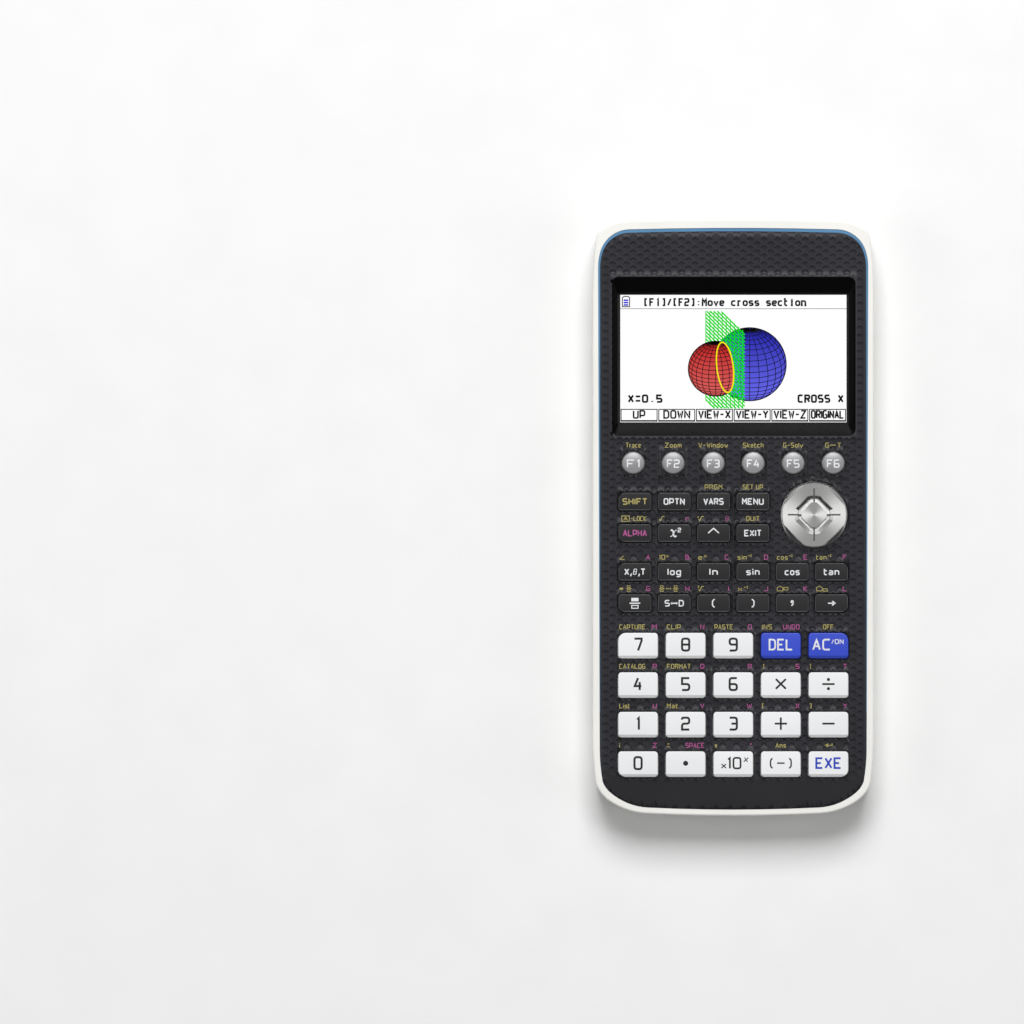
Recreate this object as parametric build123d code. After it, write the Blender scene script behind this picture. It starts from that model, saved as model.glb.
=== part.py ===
from build123d import *
import os
from math import asin, cos, radians, sin

# A pocket graphing calculator lying on its back: +X to the right of the keys, +Y towards the display end,
# +Z out of the key face. The origin is on the table under the middle of the case. Millimetres.

# Case
WIDTH = 89.0
LENGTH = 189.2
THICKNESS = 18.6  # table to the tops of the large keys

# Heights above the table
BACK_Z = 0.5  # the feet hold the back this far up
FLOOR_Z = 1.9  # inner face of the back
BOARD_Z = 10.2
BOARD_T = 1.2
SHEET_T = 0.8
DOME_TOP = 13.6
FLANGE_Z = 14.3
FLANGE_T = 0.9
LEDGE_Z = 14.6  # the ledge inside the rim
COVER_Z = 15.4  # underside of the front cover
PANEL_Z = 17.1  # face of the front cover
RIM_Z = 17.2
TRIM_Z = 16.95

# Each end of an outline: half width, distance from the middle, then turns and radii of its tangent arcs.
# The first arc crosses the middle, and its radius is whatever the width leaves.
CASE_ENDS = (
    (WIDTH / 2, LENGTH / 2, (1.9, 35.1, 45, 8), (16, 2.6, 126)),
    (WIDTH / 2, -LENGTH / 2, (2.8, 32, 32.6, 14.6, 8), (23, 11, 3, 109)),
)
RIM_ENDS = (
    (42.8, 91.69, (1.6, 70.4, 18), (9.75, 16.4)),
    (42.3, -92.67, (2.8, 38.4, 26, 13, 9.8), (19.7, 8.36, 3, 60)),
)
PANEL_ENDS = (
    (42.1, 90.57, (1.6, 70.4, 18), (8.9, 15.5)),
    (42.1, -92.57, (2.8, 38.4, 26, 13, 9.8), (19.7, 8.36, 3, 60)),
)
SEAT_GAP = 0.05  # between the rim, the trim and the panel
LEDGE = 1.0  # width of the ledge inside the rim
TRIM_LAP = 0.3  # the trim's flange reaches this far past the ledge
BACK_ROUND = 2.2
RIM_ROUND = 0.6

# Display
RECESS_X, RECESS_Y, RECESS_R = (-38.5, 38.8), (25.75, 76.2), 2.2
GLASS_X, GLASS_Y, GLASS_R = (-36.7, 36.7), (29.5, 71.3), 0.6
LIP_Z = 15.8  # bottom of the recess's slopes
WINDOW_MARGIN = 1.4
WINDOW_T = 0.9
MODULE_X, MODULE_Y = (-37.6, 37.6), (27.5, 74.0)
MODULE_Z = 12.65
MODULE_T = 1.8
CELL_MARGIN, CELL_LAP = 1.1, 0.5  # the display's glass: in from the frame's sides, and past the opening
CELL_FLOOR = 0.6  # the frame is this thick under the display's glass

# Keys: plan sizes, tops and travels
ROUND_KEY_D = 7.0
ROUND_KEY_TOP = 18.2
ROUND_EDGE, ROUND_DOME_R = 0.35, 20.0
SMALL_KEY = (10.3, 5.65)
SMALL_KEY_TOP = 18.1
LARGE_KEY = (12.5, 8.1)
SMALL_CROWN = (0.06, 0.5, 0.25)  # sag of the top, then run and drop of the slope along the near edge
LARGE_CROWN = (0.1, 1.0, 0.7)
SMALL_ROUND, LARGE_ROUND = 0.75, 1.0  # corners in plan
ROUNDED_FROM = 16.8  # a cap's edges above this height are rounded
KEY_GAP = 0.28  # from a key to its opening
FLANGE_LAP = 0.75  # from a key to the edge of its flange
STEM_R = 1.7
DOME_R, DOME_SKIN = (2.6, 1.8), 0.45
HOLLOW_R = (2.1, 1.0)
CAP_ROUND = 0.22

ROUND_PITCH, ROUND_Y = 12.67, 17.24
SMALL_PITCH, SMALL_ROWS = 12.46, (4.99, -5.02, -17.27, -27.24)
LARGE_PITCH, LARGE_ROWS = 15.08, (-40.69, -53.2, -65.73, -78.24)
SMALL_NAMES = (
    ("shift", "optn", "vars", "menu"),
    ("alpha", "square", "power", "exit"),
    ("xtheta", "log", "ln", "sin", "cos", "tan"),
    ("fraction", "sd", "open", "close", "comma", "arrow"),
)
LARGE_NAMES = (
    ("7", "8", "9", "del", "ac"),
    ("4", "5", "6", "times", "divide"),
    ("1", "2", "3", "plus", "minus"),
    ("0", "point", "exp", "negative", "exe"),
)
# Keys with one large corner: which one, as (left or right, bottom or top)
SMALL_CORNER, LARGE_CORNER = 2.0, 2.4
BIG_CORNERS = {
    "shift": (-1, 1),
    "alpha": (-1, -1),
    "xtheta": (-1, 1),
    "fraction": (-1, -1),
    "tan": (1, 1),
    "arrow": (1, -1),
    "7": (-1, 1),
    "ac": (1, 1),
    "0": (-1, -1),
    "exe": (1, -1),
}

# Direction pad
PAD_X, PAD_Y = 25.63, 0.78
PAD_R = 10.05
PAD_OPENING_R = 10.55
PAD_TOP = 18.3
PAD_EDGE_Z = 17.7  # the facets outside the four chords slope down to this at the pad's edge
PAD_CHORD = 8.98
PAD_RING_R, PAD_RING_CHORD = 6.2, 5.55
PAD_RING_SLOPE = 1.3  # the ring's outer wall slopes in by this much
PAD_BOSS_R, PAD_BOSS_CHORD = 4.03, 3.39
PAD_RING_Z = 17.55
PAD_LINE_W, PAD_LINE_R, PAD_LINE_DEPTH = 0.5, 8.3, 0.25
PAD_FLANGE_R, PAD_FLANGE_TOP = 11.5, 14.5
PAD_BODY_Z = 13.8
PIVOT_Z = 13.5
PIVOT_R = 1.5
PIVOT_GAP = 0.1
PIVOT_FOOT_R, PIVOT_LIFT = 0.9, 0.15  # the foot stands this far off the board
PIVOT_HOLE_R = 3.0  # in the membrane
PAD_DOME_R = 7.0  # from the pad's middle to the four domes under it

# Battery compartment
CELL_D, CELL_L, CELL_PITCH = 10.3, 43.3, 11.4
NUB_D, NUB_L = 3.8, 1.2
CELL_Z = 6.9
SPRING_L = 3.6
PLATE_T = 0.4
WELL_X, WELL_Y = 23.2, (26.0, 75.0)
WELL_TOP = 12.1
WELL_WALL = 1.2
WELL_ROOF = 0.5
CELL_RIB_T, CELL_RIB_Z = 1.2, 9.6
PLATE_SIZE = (9.0, 8.0)
SPRING_R, SPRING_BORE_R = (3.6, 2.4), (3.1, 1.9)
DOOR_X, DOOR_Y = 26.5, (20.5, 80.5)
DOOR_T = 1.1
DOOR_GAP = 0.25
DOOR_LIFT = 0.05  # between the door and its seat
DOOR_SEAT_TOP, DOOR_SEAT_W = 3.0, 2.0  # the back is this thick round the door
TONGUE_X, TONGUE_W, TONGUE_L = 16.0, 8.0, 1.9
TONGUE_GAP, TONGUE_END_GAP, TONGUE_SLOT_L, TONGUE_SLOT_Z = 0.3, 0.6, 1.5, 1.0
CATCH_W, CATCH_T, CATCH_TOP, CATCH_GAP = 10.0, 0.9, 5.0, 0.4
BARB_R, BARB_LIFT = 0.25, 0.6

# Screws: head down in a deep hole of the back, shank up into the front cover
SCREWS = ((33.0, -86.8), (39.2, -34.0), (38.5, 84.0))
HEAD_R, HEAD_T, SEAT_Z = 1.8, 1.5, 4.0
SHANK_R, SHANK_TOP = 1.0, 13.6
HEAD_GAP, SHANK_GAP, THREAD_GAP, TIP_GAP = 0.3, 0.15, 0.02, 0.3
CROSS_SIZE = (2.2, 0.5, 1.4)
REAR_BOSS_R, REAR_BOSS_TOP = 3.0, 9.9
FRONT_BOSS_R, FRONT_BOSS_Z = 1.9, 10.0

# Sockets in the top edge
USB_X, USB_W, USB_H, USB_Y = 12.0, 7.7, 3.9, (84.4, 93.7)
USB_WALL, USB_BACK = 0.4, 1.0
USB_TONGUE_HALF, USB_TONGUE_HEIGHTS = 2.4, (1.6, 2.4)
JACK_X, JACK_W, JACK_Y, JACK_BORE_R, JACK_BORE_L = -12.0, 6.0, (81.4, 93.3), 1.25, 11.0
JACK_NOSE_Y = 88.6
SOCKET_GAP, SOCKET_HOLE_Y = 0.3, 88.0

# Circuit board
BOARD_X, BOARD_Y = 36.0, (-84.0, 22.8)
ARM_X, STRIP_Y = (27.0, 36.0), (79.5, 88.5)
SHEET_X, SHEET_Y = 35.5, (-83.5, 21.8)
STRIP_X = (-30.0, 34.0)
RESET_AT, RESET_HOLE_R = (-31.0, 8.0), 1.2
RESET_BODY, RESET_BUTTON_R, RESET_BUTTON_L = (4.2, 4.2, 2.2), 0.9, 0.8
DISPLAY_PLUG_X, DISPLAY_PLUG_Y = (29.0, 34.5), (30.0, 34.0)
CHIPS = (  # x, y, width, depth, height of each part under the board
    (-4.0, -14.0, 20.0, 20.0, 1.4),
    (17.0, -12.0, 12.0, 18.0, 1.1),
    (-22.0, -18.0, 8.0, 10.0, 1.1),
    (31.0, 50.0, 6.0, 5.0, 1.2),
    (-14.0, -38.0, 4.0, 9.0, 3.2),
    (20.0, -34.0, 5.0, 5.0, 1.8),
)
BOARD_POSTS = ((-33.0, -62.0), (33.0, -62.0), (0.0, -60.0), (-33.0, -10.0), (33.0, -10.0), (0.0, 12.0))
BOARD_POST_R = 2.0
PEG_R = 0.9
PEGS = (
    (-24.92, -11.1), (0.0, -11.1), (24.92, -22.3), (-24.92, -22.3), (0.0, -22.3),
    (-22.62, -47.0), (22.62, -47.0), (-22.62, -72.0), (22.62, -72.0), (-34.0, 11.1),
)

# Outside of the back
FOOT_X, FOOT_Y, FOOT_SIZE = 28.0, (-86.0, 87.0), (13.0, 3.4)
GROOVE_Y, GROOVE_Z, GROOVE_DEPTH = (-60.0, 66.0), (9.0, 11.2), 0.7
GROOVE_TOOL_W = 1.5
GRIP_ROWS, GRIP_HALF, GRIP_W, GRIP_DEPTH = (23.0, 24.2, 25.4), 8.0, 0.5, 0.3
TRIM_END_Y = -62.0
OVERLAP = 0.1  # shapes that are joined run this far into each other


def box(x, y, z):
    """A block between low and high values on each axis."""
    size = [high - low for low, high in (x, y, z)]
    middle = [(low + high) / 2 for low, high in (x, y, z)]
    return Pos(*middle) * Box(*size)


def post(x, y, radius, low, high):
    """An upright cylinder between two heights."""
    return Pos(x, y, (low + high) / 2) * Cylinder(radius, high - low)


def barrel(x, z, radius, low, high):
    """A cylinder along Y between two places."""
    return Pos(x, (low + high) / 2, z) * Rotation(90, 0, 0) * Cylinder(radius, high - low)


def end_curve(half_width, end_y, turns, radii):
    """Tangent arcs from the middle of one end to the right side."""
    bends = [0.0]
    for turn in turns:
        bends.append(bends[-1] + turn)
    spans = [sin(radians(b)) - sin(radians(a)) for a, b in zip(bends, bends[1:])]
    rest = half_width - sum(r * s for r, s in zip(radii, spans[1:]))
    point, direction = Vector(0, end_y), Vector(1, 0)
    way = -1 if end_y > 0 else 1
    arcs = []
    for radius, turn in zip((rest / spans[0], *radii), turns):
        arc = JernArc(point, direction, radius, way * turn)
        arcs.append(arc)
        point, direction = arc @ 1, arc % 1
    return arcs


def outline(ends, inset=0.0):
    """The closed face between two ends with straight sides, or one parallel to it further in."""
    half = []
    for half_width, end_y, turns, radii in ends:
        distance = abs(end_y) - inset
        inner = [max(radius - inset, 0.4) for radius in radii]
        half.append(end_curve(half_width - inset, distance if end_y > 0 else -distance, turns, inner))
    top, bottom = half
    right = Curve() + [*top, Line(top[-1] @ 1, bottom[-1] @ 1), *bottom]
    return make_face(right + mirror(right, Plane.YZ))


def prism(face, low, high):
    """A flat face in XY raised between two heights."""
    return Pos(0, 0, low) * extrude(face, high - low)


def key_plan(size, grow, corner, big_corner=0.0, where=None):
    """A key's rounded rectangle, with one large corner if where names it."""
    half_x, half_y = size[0] / 2 + grow, size[1] / 2 + grow
    ways = ((-1, -1), (1, -1), (1, 1), (-1, 1))
    radii = [(big_corner if way == where else corner) + grow for way in ways]
    points = [(x * half_x, y * half_y) for x, y in ways]
    return make_face(FilletPolyline(*points, radius=radii, close=True))


def layout():
    """Every key as (name, style, x, y)."""
    keys = []
    for i in range(6):
        keys.append((f"f{i + 1}", "round", (i - 2.5) * ROUND_PITCH, ROUND_Y))
    for names, y in zip(SMALL_NAMES, SMALL_ROWS):
        for i, name in enumerate(names):
            keys.append((name, "small", (i - 2.5) * SMALL_PITCH, y))
    for names, y in zip(LARGE_NAMES, LARGE_ROWS):
        for i, name in enumerate(names):
            keys.append((name, "large", (i - 2) * LARGE_PITCH, y))
    return keys


def key_face(name, style, grow):
    """A key's plan, grown outwards by a distance."""
    if style == "round":
        return Circle(ROUND_KEY_D / 2 + grow)
    if style == "small":
        return key_plan(SMALL_KEY, grow, SMALL_ROUND, SMALL_CORNER, BIG_CORNERS.get(name))
    return key_plan(LARGE_KEY, grow, LARGE_ROUND, LARGE_CORNER, BIG_CORNERS.get(name))


def crown(size, top, sag, slope_run, slope_drop):
    """The block under a key's crowned top, with a slope along its near edge. It is larger than the key."""
    half_y = size[1] / 2 + OVERLAP
    start, end = (half_y, top - sag), (slope_run - half_y, top - sag)
    middle = ((start[0] + end[0]) / 2, top)
    side = Curve() + [
        ThreePointArc(start, middle, end),
        Polyline(end, (-half_y, top - sag - slope_drop), (-half_y, FLANGE_Z), (half_y, FLANGE_Z), start),
    ]
    section = Plane.YZ * make_face(side)
    return extrude(section, size[0], both=True)


def round_cap():
    """A round key's cap: a shallow dome inside a turned edge."""
    radius = ROUND_KEY_D / 2 - ROUND_EDGE
    sag = radius**2 / (2 * ROUND_DOME_R)
    foot = ROUND_KEY_TOP - sag
    half = asin(radius / ROUND_DOME_R) / 2
    middle = (ROUND_DOME_R * sin(half), ROUND_KEY_TOP - ROUND_DOME_R * (1 - cos(half)))
    start = (ROUND_DOME_R * sin(2 * half), ROUND_KEY_TOP - ROUND_DOME_R * (1 - cos(2 * half)))
    dome = ThreePointArc(start, middle, (0, ROUND_KEY_TOP))
    shoulder = (ROUND_KEY_D / 2, foot - ROUND_EDGE)
    wall = Polyline((0, ROUND_KEY_TOP), (0, FLANGE_Z), (ROUND_KEY_D / 2, FLANGE_Z), shoulder, start)
    return revolve(Plane.XZ * make_face(Curve() + [dome, wall]), Axis.Z)


def key_cap(name, style):
    """The visible cap of a key, over the origin."""
    if style == "round":
        return round_cap()
    if style == "small":
        block = crown(SMALL_KEY, SMALL_KEY_TOP, *SMALL_CROWN)
    else:
        block = crown(LARGE_KEY, THICKNESS, *LARGE_CROWN)
    cap = prism(key_face(name, style, 0), FLANGE_Z, THICKNESS + OVERLAP) & block
    return fillet(cap.edges().filter_by_position(Axis.Z, ROUNDED_FROM, THICKNESS), CAP_ROUND)


def key(name, style):
    """One key: cap, retaining flange and stem, over the origin."""
    flange = prism(key_face(name, style, FLANGE_LAP), FLANGE_Z, FLANGE_Z + FLANGE_T)
    stem = post(0, 0, STEM_R, DOME_TOP, FLANGE_Z)
    return key_cap(name, style) + flange + stem


def diamond(distance):
    """A square on its corner, with its sides that far from the middle."""
    return Rotation(0, 0, 45) * Rectangle(2 * distance, 2 * distance)


def cross_lines(reach):
    """Two crossed bands as wide as the pad's lines."""
    return Rectangle(PAD_LINE_W, 2 * reach) + Rectangle(2 * reach, PAD_LINE_W)


def pad_ring():
    """The ring recess: its outer wall slopes down to the boss, between four ribs."""
    shapes = []
    for shrink, z in ((PAD_RING_SLOPE, PAD_RING_Z), (0, PAD_TOP)):
        face = Circle(PAD_RING_R - shrink) & diamond(PAD_RING_CHORD - shrink)
        shapes.append(Pos(0, 0, z) * face)
    kept = (Circle(PAD_BOSS_R) & diamond(PAD_BOSS_CHORD)) + cross_lines(PAD_RING_R)
    return loft([shape.face() for shape in shapes], ruled=True) - prism(kept, PAD_RING_Z, PAD_TOP)


def cursor_pad():
    """The rocking disc: four sloped facets round its face, a ring recess, a boss, lines and a flange."""
    disc = prism(Circle(PAD_R), PAD_BODY_Z, PAD_TOP)
    low, high = Pos(0, 0, PAD_EDGE_Z) * diamond(PAD_R), Pos(0, 0, PAD_TOP) * diamond(PAD_CHORD)
    facets = loft([low.face(), high.face()], ruled=True) + prism(diamond(2 * PAD_R), PAD_BODY_Z, PAD_EDGE_Z)
    pad = (disc & facets) + post(0, 0, PAD_FLANGE_R, DOME_TOP, PAD_FLANGE_TOP)
    pad -= pad_ring()
    pad -= prism(cross_lines(PAD_LINE_R) - Circle(PAD_BOSS_R), PAD_TOP - PAD_LINE_DEPTH, PAD_TOP)
    pad -= Pos(0, 0, PIVOT_Z) * Sphere(PIVOT_R + PIVOT_GAP)
    return Pos(PAD_X, PAD_Y, 0) * pad


def cursor_pivot():
    """The ball on a short foot that the pad rocks on."""
    foot = post(PAD_X, PAD_Y, PIVOT_FOOT_R, BOARD_Z + BOARD_T + PIVOT_LIFT, PIVOT_Z)
    return Pos(PAD_X, PAD_Y, PIVOT_Z) * Sphere(PIVOT_R) + foot


def slot_groove(side):
    """The long groove that the slide-on lid runs in, on one side of the case."""
    middle = side * (WIDTH / 2 - GROOVE_DEPTH + GROOVE_TOOL_W / 2)
    return box((middle - GROOVE_TOOL_W / 2, middle + GROOVE_TOOL_W / 2), GROOVE_Y, GROOVE_Z)


def rear_cover():
    """The pale outer shell: back, walls and rim, with the battery compartment and screw bosses."""
    shell = prism(outline(CASE_ENDS), BACK_Z, RIM_Z)
    shell = fillet(shell.faces().sort_by(Axis.Z)[0].edges(), BACK_ROUND)
    shell = fillet(shell.faces().sort_by(Axis.Z)[-1].edges(), RIM_ROUND)
    shell -= prism(outline(RIM_ENDS, LEDGE), FLOOR_Z, LEDGE_Z)
    shell -= prism(outline(RIM_ENDS), LEDGE_Z, RIM_Z)
    shell -= [slot_groove(side) for side in (-1, 1)]
    shell += battery_walls()
    shell += [foot_pad(x, y) for x in (-FOOT_X, FOOT_X) for y in FOOT_Y]
    shell += [post(x, y, BOARD_POST_R, FLOOR_Z, BOARD_Z) for x, y in BOARD_POSTS]
    shell += [post(x, y, REAR_BOSS_R, FLOOR_Z, REAR_BOSS_TOP) for x, y in screw_places()]
    holes = battery_opening()
    for x, y in screw_places():
        holes.append(post(x, y, HEAD_R + HEAD_GAP, 0, SEAT_Z))
        holes.append(post(x, y, SHANK_R + SHANK_GAP, SEAT_Z, REAR_BOSS_TOP))
    holes.append(post(*RESET_AT, RESET_HOLE_R, 0, FLOOR_Z))
    usb_half = USB_W / 2 + SOCKET_GAP
    usb_hole = box((USB_X - usb_half, USB_X + usb_half), (SOCKET_HOLE_Y, LENGTH / 2), usb_heights(SOCKET_GAP))
    jack_hole = barrel(JACK_X, jack_middle(), JACK_W / 2 + SOCKET_GAP, SOCKET_HOLE_Y, LENGTH / 2 + OVERLAP)
    holes += [usb_hole, jack_hole]
    return shell - holes


def foot_pad(x, y):
    """A low rounded bar moulded under the back."""
    bar = extrude(SlotOverall(FOOT_SIZE[0], FOOT_SIZE[1]), BACK_Z + OVERLAP)
    return Pos(x, y, 0) * bar


def screw_places():
    """The six screw positions, mirrored about the middle."""
    return [(side * x, y) for x, y in SCREWS for side in (-1, 1)]


def battery_walls():
    """The thick seat round the door and the walls, roof and low ribs that hold the cells."""
    seat_x = (-DOOR_X - DOOR_SEAT_W, DOOR_X + DOOR_SEAT_W)
    seat = box(seat_x, (DOOR_Y[0] - DOOR_SEAT_W, DOOR_Y[1] + DOOR_SEAT_W), (FLOOR_Z, DOOR_SEAT_TOP))
    walls = box(
        (-WELL_X - WELL_WALL, WELL_X + WELL_WALL),
        (WELL_Y[0] - WELL_WALL, WELL_Y[1] + WELL_WALL),
        (FLOOR_Z, WELL_TOP + WELL_ROOF),
    )
    return seat + walls


def battery_opening():
    """What is cut for the door, the cells, the door's tongues and its catch."""
    well = box((-WELL_X, WELL_X), WELL_Y, (0, WELL_TOP))
    for i in range(3):
        x = (i - 1) * CELL_PITCH
        well -= box((x - CELL_RIB_T / 2, x + CELL_RIB_T / 2), WELL_Y, (CELL_RIB_Z, WELL_TOP))
    cuts = [well]
    door_x = (-DOOR_X - DOOR_GAP, DOOR_X + DOOR_GAP)
    door_y = (DOOR_Y[0] - DOOR_GAP, DOOR_Y[1] + DOOR_GAP)
    cuts.append(box(door_x, door_y, (0, BACK_Z + DOOR_T + DOOR_LIFT)))
    slot_y = (DOOR_Y[1] - TONGUE_SLOT_L, DOOR_Y[1] + TONGUE_L + TONGUE_END_GAP)
    half = TONGUE_W / 2 + TONGUE_GAP
    for side in (-1, 1):
        x = (side * TONGUE_X - half, side * TONGUE_X + half)
        cuts.append(box(x, slot_y, (TONGUE_SLOT_Z, DOOR_SEAT_TOP)))
    catch_x = (-CATCH_W / 2 - CATCH_GAP, CATCH_W / 2 + CATCH_GAP)
    catch_y = (DOOR_Y[0] - DOOR_GAP, WELL_Y[0] - WELL_WALL - TONGUE_GAP)
    cuts.append(box(catch_x, catch_y, (0, DOOR_SEAT_TOP)))
    return cuts


def battery_cover():
    """The snap-in door: a plate with a round hinge edge, two tongues and a catch."""
    hinge_y, hinge_z = door_hinge()
    plate = box((-DOOR_X, DOOR_X), (DOOR_Y[0], hinge_y), (BACK_Z, BACK_Z + DOOR_T))
    edge = Pos(0, hinge_y, hinge_z) * Rotation(0, 90, 0) * Cylinder(DOOR_T / 2, 2 * DOOR_X)
    door = plate + edge
    for side in (-1, 1):
        x = (side * TONGUE_X - TONGUE_W / 2, side * TONGUE_X + TONGUE_W / 2)
        door += box(x, (hinge_y, DOOR_Y[1] + TONGUE_L), (hinge_z, BACK_Z + DOOR_T))
    catch_x = (-CATCH_W / 2, CATCH_W / 2)
    catch_y = DOOR_Y[0] + DOOR_GAP
    door += box(catch_x, (catch_y, catch_y + CATCH_T), (BACK_Z + DOOR_T, CATCH_TOP))
    barb = Pos(0, catch_y, DOOR_SEAT_TOP + BARB_LIFT) * Rotation(0, 90, 0) * Cylinder(BARB_R, CATCH_W)
    grip = [box((-GRIP_HALF, GRIP_HALF), (y, y + GRIP_W), (0, BACK_Z + GRIP_DEPTH)) for y in GRIP_ROWS]
    return door + barb - grip


def door_hinge():
    """The line that the battery door swings about, as (y, z)."""
    return DOOR_Y[1] - DOOR_T / 2, BACK_Z + DOOR_T / 2


def cell_places():
    """Each cell as (x, low y of its can, +1 or -1 for the way its nub points)."""
    places = []
    for i in range(4):
        way = 1 if i % 2 == 0 else -1
        low = WELL_Y[1] - PLATE_T - NUB_L - CELL_L if way > 0 else WELL_Y[0] + PLATE_T + NUB_L
        places.append(((i - 1.5) * CELL_PITCH, low, way))
    return places


def batteries():
    """Four AAA cells side by side, each the other way round from its neighbour."""
    cells = []
    for x, low, way in cell_places():
        can = barrel(x, CELL_Z, CELL_D / 2, low, low + CELL_L)
        nub_low = low + CELL_L if way > 0 else low - NUB_L
        cells.append(can + barrel(x, CELL_Z, NUB_D / 2, nub_low, nub_low + NUB_L))
    return Compound(children=cells)


def battery_contacts():
    """A plate at each end of each cell, with a conical spring on the plate at the flat end."""
    contacts = []
    for x, low, way in cell_places():
        for end in (-1, 1):
            plate_y = WELL_Y[0] + PLATE_T / 2 if end < 0 else WELL_Y[1] - PLATE_T / 2
            plate = Pos(x, plate_y, CELL_Z) * Box(PLATE_SIZE[0], PLATE_T, PLATE_SIZE[1])
            if end != way:
                free_end = low if end < 0 else low + CELL_L
                near = plate_y + PLATE_T / 2 if end < 0 else free_end
                cone = Cone(*SPRING_R[::-end], SPRING_L) - Cone(*SPRING_BORE_R[::-end], SPRING_L)
                plate += Pos(x, near + SPRING_L / 2, CELL_Z) * Rotation(-90, 0, 0) * cone
            contacts.append(plate)
    return Compound(children=contacts)


def frustum(low_x, low_y, high_x, high_y, corner_low, corner_high, low, high):
    """The cut between two rounded rectangles at two heights."""
    faces = []
    for x, y, radius, z in ((low_x, low_y, corner_low, low), (high_x, high_y, corner_high, high)):
        rectangle = RectangleRounded(x[1] - x[0], y[1] - y[0], radius)
        faces.append(Pos((x[0] + x[1]) / 2, (y[0] + y[1]) / 2, z) * rectangle)
    return loft(faces, ruled=True)


def front_cover():
    """The dark face panel: sloped display recess, key openings, screw bosses and pegs for the membrane."""
    panel = prism(outline(PANEL_ENDS), COVER_Z, PANEL_Z)
    panel += [post(x, y, FRONT_BOSS_R, FRONT_BOSS_Z, COVER_Z) for x, y in screw_places()]
    sheet_top = BOARD_Z + BOARD_T + SHEET_T
    panel += [post(x, y, PEG_R, sheet_top, COVER_Z) for x, y in PEGS]
    glass = RectangleRounded(GLASS_X[1] - GLASS_X[0], GLASS_Y[1] - GLASS_Y[0], GLASS_R)
    cuts = [prism(Pos(0, sum(GLASS_Y) / 2) * glass, COVER_Z, LIP_Z)]
    cuts.append(frustum(GLASS_X, GLASS_Y, RECESS_X, RECESS_Y, GLASS_R, RECESS_R, LIP_Z, PANEL_Z))
    for name, style, x, y in layout():
        cuts.append(Pos(x, y, 0) * prism(key_face(name, style, KEY_GAP), COVER_Z, PANEL_Z))
    cuts.append(post(PAD_X, PAD_Y, PAD_OPENING_R, COVER_Z, PANEL_Z))
    cuts += [post(x, y, SHANK_R + THREAD_GAP, FRONT_BOSS_Z, SHANK_TOP + TIP_GAP) for x, y in screw_places()]
    return panel - cuts


def accent_trim():
    """The light-blue ring: a flange under the panel's edge and a lip between the panel and the rim."""
    flange = prism(outline(RIM_ENDS, SEAT_GAP) - outline(RIM_ENDS, LEDGE + TRIM_LAP), LEDGE_Z, COVER_Z)
    lip = prism(outline(RIM_ENDS, SEAT_GAP) - outline(PANEL_ENDS, -SEAT_GAP), COVER_Z, TRIM_Z)
    lip &= box((-WIDTH, WIDTH), (TRIM_END_Y, LENGTH), (COVER_Z, TRIM_Z))
    return flange + lip


def display_window():
    """The clear plate glued under the display opening."""
    x = (GLASS_X[0] - WINDOW_MARGIN, GLASS_X[1] + WINDOW_MARGIN)
    y = (GLASS_Y[0] - WINDOW_MARGIN, GLASS_Y[1] + WINDOW_MARGIN)
    return box(x, y, (COVER_Z - WINDOW_T, COVER_Z))


def display_module():
    """The display: a frame with its glass set in from the edge."""
    top = MODULE_Z + MODULE_T
    frame = box(MODULE_X, MODULE_Y, (MODULE_Z, top))
    x = (MODULE_X[0] + CELL_MARGIN, MODULE_X[1] - CELL_MARGIN)
    y = (GLASS_Y[0] - CELL_LAP, GLASS_Y[1] + CELL_LAP)
    pocket = box(x, y, (MODULE_Z + CELL_FLOOR, top))
    return Compound(children=[frame - pocket, pocket])


def circuit_board():
    """The board, with an arm past the battery compartment to the sockets, and the parts soldered to it."""
    board = box((-BOARD_X, BOARD_X), BOARD_Y, (BOARD_Z, BOARD_Z + BOARD_T))
    board += box(ARM_X, (BOARD_Y[1] - OVERLAP, STRIP_Y[1]), (BOARD_Z, BOARD_Z + BOARD_T))
    board += box(STRIP_X, STRIP_Y, (BOARD_Z, BOARD_Z + BOARD_T))
    parts = [board]
    for x, y, size_x, size_y, height in CHIPS:
        parts.append(Pos(x, y, BOARD_Z - height / 2) * Box(size_x, size_y, height))
    parts.append(box(DISPLAY_PLUG_X, DISPLAY_PLUG_Y, (BOARD_Z + BOARD_T, MODULE_Z)))
    switch_low = BOARD_Z - RESET_BODY[2]
    button = post(*RESET_AT, RESET_BUTTON_R, switch_low - RESET_BUTTON_L, switch_low)
    parts.append(Pos(*RESET_AT, BOARD_Z - RESET_BODY[2] / 2) * Box(*RESET_BODY) + button)
    return Compound(children=parts)


def keypad_membrane():
    """The rubber sheet, with a hollow dome under each key and four under the pad."""
    low, high = BOARD_Z + BOARD_T, BOARD_Z + BOARD_T + SHEET_T
    sheet = box((-SHEET_X, SHEET_X), SHEET_Y, (low, high))
    places = [(x, y) for _, _, x, y in layout()]
    for dx, dy in ((1, 0), (0, 1), (-1, 0), (0, -1)):
        places.append((PAD_X + dx * PAD_DOME_R, PAD_Y + dy * PAD_DOME_R))
    domes, hollows = [], []
    for x, y in places:
        domes.append(Pos(x, y, (high + DOME_TOP) / 2) * Cone(*DOME_R, DOME_TOP - high))
        hollow_top = DOME_TOP - DOME_SKIN
        hollows.append(Pos(x, y, (low + hollow_top) / 2) * Cone(*HOLLOW_R, hollow_top - low))
    sheet += domes
    return sheet - hollows - post(PAD_X, PAD_Y, PIVOT_HOLE_R, low, high)


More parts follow.
